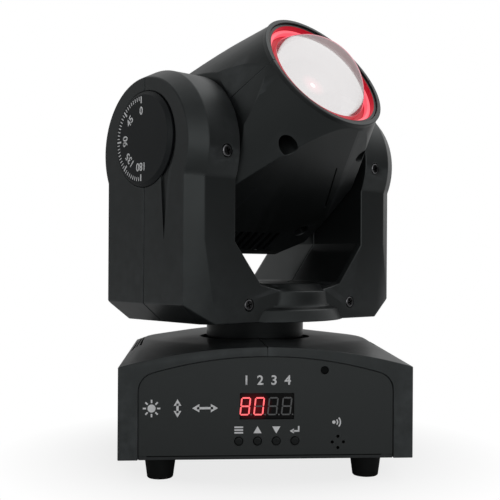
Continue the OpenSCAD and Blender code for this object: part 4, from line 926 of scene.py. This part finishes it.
def menu_sign(x):
    return [flat_bar((x, BUTTON_SIGN_Z + MENU_STEP * step), (MENU_BAR, STROKE)) for step in (-1, 0, 1)]


def enter_sign(x):
    """A bar with a short upright at its right end and an arrow head at its left end."""
    low_z = BUTTON_SIGN_Z - ENTER_STEP
    high_z = BUTTON_SIGN_Z + ENTER_STEP
    lying = flat_bar((x + ENTER_BAR_SHIFT, low_z), (ENTER_BAR, STROKE))
    upright = flat_bar((x + ENTER_POST_SHIFT, high_z), (STROKE, ENTER_POST))
    tip = flat_disc((x + ENTER_TIP_SHIFT, low_z), ENTER_TIP_R, 3, math.pi / 2)
    return [lying, upright, tip]


def sound_sign(x):
    """A dot with two arcs on its right."""
    marks = [flat_disc((x, MIC_SIGN_Z), MIC_DOT_R)]
    for radius in MIC_WAVES:
        marks.append(flat_arc((x, MIC_SIGN_Z), radius, MIC_WAVE_W, MIC_WAVE_START, MIC_WAVE_SWEEP))
    return marks


def sun_sign(x):
    marks = [flat_disc((x, SIGN_Z), SUN_R)]
    for ray in range(RAY_COUNT):
        angle = 2 * math.pi * ray / RAY_COUNT
        spot = (x + RAY_R * math.cos(angle), SIGN_Z + RAY_R * math.sin(angle))
        marks.append(flat_bar(spot, (RAY_LENGTH, STROKE), angle))
    return marks


def double_arrow(centre, length, head, turn):
    """A bar with a triangle of this radius at each end, lying unless it is turned."""
    along = Vector((math.cos(turn), math.sin(turn)))
    middle = Vector(centre)
    reach = length / 2 - head
    marks = [flat_bar(centre, (2 * reach, ARROW_STROKE), turn)]
    for way, quarter in ((1, -math.pi / 2), (-1, math.pi / 2)):
        marks.append(flat_disc(middle + way * reach * along, head, 3, turn + quarter))
    return marks


button_x = [sum(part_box(button), Vector()).x / 2 / MM for button in BUTTONS]
mic_x = sum(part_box("mic_capsule"), Vector()).x / 2 / MM
panel_marks = []
for digit in range(len(LIT_SEGMENTS)):
    number_x = (digit - MIDDLE_DIGIT) * DIGIT_PITCH
    panel_marks.append(flat_number(str(digit + 1), (number_x, NUMBER_Z), NUMBER_H))
panel_marks += menu_sign(button_x[0])
panel_marks.append(flat_disc((button_x[1], BUTTON_SIGN_Z - TRIANGLE_SHIFT), TRIANGLE_R, 3))
panel_marks.append(flat_disc((button_x[2], BUTTON_SIGN_Z + TRIANGLE_SHIFT), TRIANGLE_R, 3, math.pi))
panel_marks += enter_sign(button_x[3])
panel_marks += sound_sign(mic_x - MIC_SIGN_SHIFT)
panel_marks += sun_sign(SUN_X)
panel_marks += double_arrow((UPRIGHT_X, SIGN_Z), *UPRIGHT_ARROW, math.pi / 2)
panel_marks += double_arrow((LYING_X, SIGN_Z), *LYING_ARROW, 0)
panel_face = front_face(PANEL_FACE_Y)
lay_print(panel_marks, "front_panel_print", panel_face, "base", pale_print)

# Painted shade: a black strip standing for the dark slit between the front panel's foot and the bottom plate
SLIT_MIDDLE = (-1.0, 1.9)
SLIT_SIZE = (124.0, 0.55)
lay_print([flat_bar(SLIT_MIDDLE, SLIT_SIZE)], "front_panel_slit_shade", panel_face, "base", black_hole)


# A dial on each arm's cover: ticks and numbers for half a turn, in millimetres and degrees
DIAL_R = 23.6
DIAL_NUMBER_R = 15.4
DIAL_NUMBER_H = 4.3
DIAL_SPAN = 180
TICK_STEP = 5
NUMBER_STEP = 45
LONG_TICK = (3.8, 0.95)
SHORT_TICK = (2.2, 0.55)


def dial_marks():
    marks = []
    for degrees in range(0, DIAL_SPAN + 1, TICK_STEP):
        angle = math.radians(degrees)
        tick = LONG_TICK if degrees % NUMBER_STEP == 0 else SHORT_TICK
        middle = DIAL_R - tick[0] / 2
        marks.append(flat_bar((middle * math.cos(angle), middle * math.sin(angle)), tick, angle))
    for degrees in range(0, DIAL_SPAN + 1, NUMBER_STEP):
        angle = math.radians(degrees)
        spot = (DIAL_NUMBER_R * math.cos(angle), DIAL_NUMBER_R * math.sin(angle))
        marks.append(flat_number(str(degrees), spot, DIAL_NUMBER_H, angle - math.pi / 2))
    return marks


for node, out in (("arm_disc_left", -SIDE), ("arm_disc_right", SIDE)):
    face_at = max(vertex.co.dot(out) for vertex in nodes[node].data.vertices)
    dial_face = axes_matrix(UP.cross(out), UP, out, out * face_at + UP * PIVOT.z)
    quarter_turn = Matrix.Rotation(math.pi / 2, 4, "Z")
    lay_print(dial_marks(), node + "_dial", dial_face @ quarter_turn, "yoke", pale_print)


# Camera, at the photograph's place and angle
CAMERA_PLACE = Vector((-42.59, -534.61, 101.31)) * MM
CAMERA_YAW = math.radians(4.21)
CAMERA_ROLL = math.radians(0.33)
FOCAL_PIXELS = 858.84
FRAME_PIXELS = 500
HORIZON_PIXEL = 266.61
SENSOR_WIDTH = 36

camera_data = bpy.data.cameras.new("camera")
camera = bpy.data.objects.new("camera", camera_data)
bpy.context.scene.collection.objects.link(camera)
camera_data.sensor_width = SENSOR_WIDTH
camera_data.lens = FOCAL_PIXELS / FRAME_PIXELS * SENSOR_WIDTH
camera_data.shift_y = (HORIZON_PIXEL - FRAME_PIXELS / 2) / FRAME_PIXELS
camera_data.clip_start = 0.01
camera.matrix_world = (Matrix.Translation(CAMERA_PLACE) @ Matrix.Rotation(-CAMERA_YAW, 4, "Z")
                       @ Matrix.Rotation(math.pi / 2, 4, "X") @ Matrix.Rotation(CAMERA_ROLL, 4, "Z"))
bpy.context.scene.camera = camera


# Studio: a room with broad soft glows, white where the camera looks, and a pale floor that fades to white
# Glows: azimuth from the camera's side and elevation, both in degrees, and brightness
ROOM_GLOWS = {
    "front": (0, 3, 1.00), "front_right": (30, 3, 0.68), "front_high": (30, 30, 0.30),
    "left": (-62, 3, 0.56), "back_left": (-108, 30, 0.44), "back_high": (-165, 45, 0.52),
    "back_right": (148, 3, 0.55), "high_right": (121, 50, 1.10), "above": (0, 84, 0.40),
}
GLOW_TIGHTNESS = 8
MIRRORED_WHITE = 0.3
BACKDROP_EDGE = 0.88
BACKDROP_FULL = 0.99
FLOOR_Z = cad_box[0][2]
FLOOR_SIZE = 8
PAPER_SCALE = 300
FLOOR_GREYS = [(0.3, (0.63, 0.63, 0.63)), (0.7, (0.68, 0.68, 0.68))]
FLOOR_WHITE_NEAR = 0.8
FADE_START = 0.085
FADE_END = 0.16

world = bpy.data.worlds.new("surround")
bpy.context.scene.world = world
world.use_nodes = True
sky = world.node_tree
background = sky.nodes["Background"]
background.inputs["Color"].default_value = (1, 1, 1, 1)
sky_way = add(sky, "ShaderNodeTexCoord").outputs["Generated"]


def sky_math(operation, first, second=0.0):
    return add(sky, "ShaderNodeMath", {"operation": operation}, i0=first, i1=second).outputs[0]


room = 0.0
for azimuth, elevation, brightness in ROOM_GLOWS.values():
    turn, lift = math.radians(azimuth), math.radians(elevation)
    glow_way = (math.sin(turn) * math.cos(lift), -math.cos(turn) * math.cos(lift), math.sin(lift))
    facing = add(sky, "ShaderNodeVectorMath", {"operation": "DOT_PRODUCT"}, i0=sky_way, i1=glow_way)
    off_axis = sky_math("SUBTRACT", facing.outputs["Value"], 1.0)
    falloff = sky_math("EXPONENT", sky_math("MULTIPLY", off_axis, GLOW_TIGHTNESS))
    room = sky_math("ADD", sky_math("MULTIPLY", falloff, brightness), room)
rays = add(sky, "ShaderNodeLightPath").outputs
rearward = add(sky, "ShaderNodeSeparateXYZ", Vector=sky_way).outputs["Y"]
backdrop = add(sky, "ShaderNodeMapRange", {"interpolation_type": "SMOOTHSTEP"}, Value=rearward,
               From_Min=BACKDROP_EDGE, From_Max=BACKDROP_FULL).outputs["Result"]
mirrored = sky_math("MULTIPLY", sky_math("MULTIPLY", backdrop, MIRRORED_WHITE), rays["Is Glossy Ray"])
seen = sky_math("MAXIMUM", rays["Is Camera Ray"], rays["Is Transmission Ray"])
room = sky_math("MAXIMUM", mirrored, room)
white_level = add(sky, "ShaderNodeMix", i0=seen, i2=room, i3=1.0).outputs[0]
sky.links.new(white_level, background.inputs["Strength"])

deselect()
bpy.ops.mesh.primitive_plane_add(size=FLOOR_SIZE)
floor = bpy.context.object
floor.name = "floor"
place(floor, Matrix.Translation((0, 0, FLOOR_Z)))
floor_paper, paper, paper_shader = new_finish("floor_paper")
paper_point = object_point(paper)
paper_grey = shades(paper, noise(paper, paper_point, PAPER_SCALE), FLOOR_GREYS)
paper.links.new(paper_grey, paper_shader.inputs["Base Color"])
paper_shader.inputs["Roughness"].default_value = 0.9
paper_shader.inputs["Specular IOR Level"].default_value = 0.0
paper_reach = axis_distance(paper, paper_point, (0, 0, 0), (0, 0, 1))
paper_fade = spread(paper, paper_reach, FLOOR_WHITE_NEAR, 1, FADE_START, FADE_END)
paper_rays = add(paper, "ShaderNodeLightPath").outputs
paper_seen = add(paper, "ShaderNodeMath", {"operation": "MAXIMUM"},
                 i0=paper_rays["Is Camera Ray"], i1=paper_rays["Is Transmission Ray"]).outputs[0]
paper_fade = add(paper, "ShaderNodeMath", {"operation": "MULTIPLY"}, i0=paper_fade, i1=paper_seen).outputs[0]
white = add(paper, "ShaderNodeEmission", Color=(1, 1, 1, 1), Strength=1.0)
paper_mix = add(paper, "ShaderNodeMixShader", Fac=paper_fade, i1=paper_shader.outputs[0], i2=white.outputs[0])
paper.links.new(paper_mix.outputs[0], paper.nodes["Material Output"].inputs["Surface"])
paint(floor, floor_paper)

bpy.context.scene.view_settings.view_transform = "Standard"
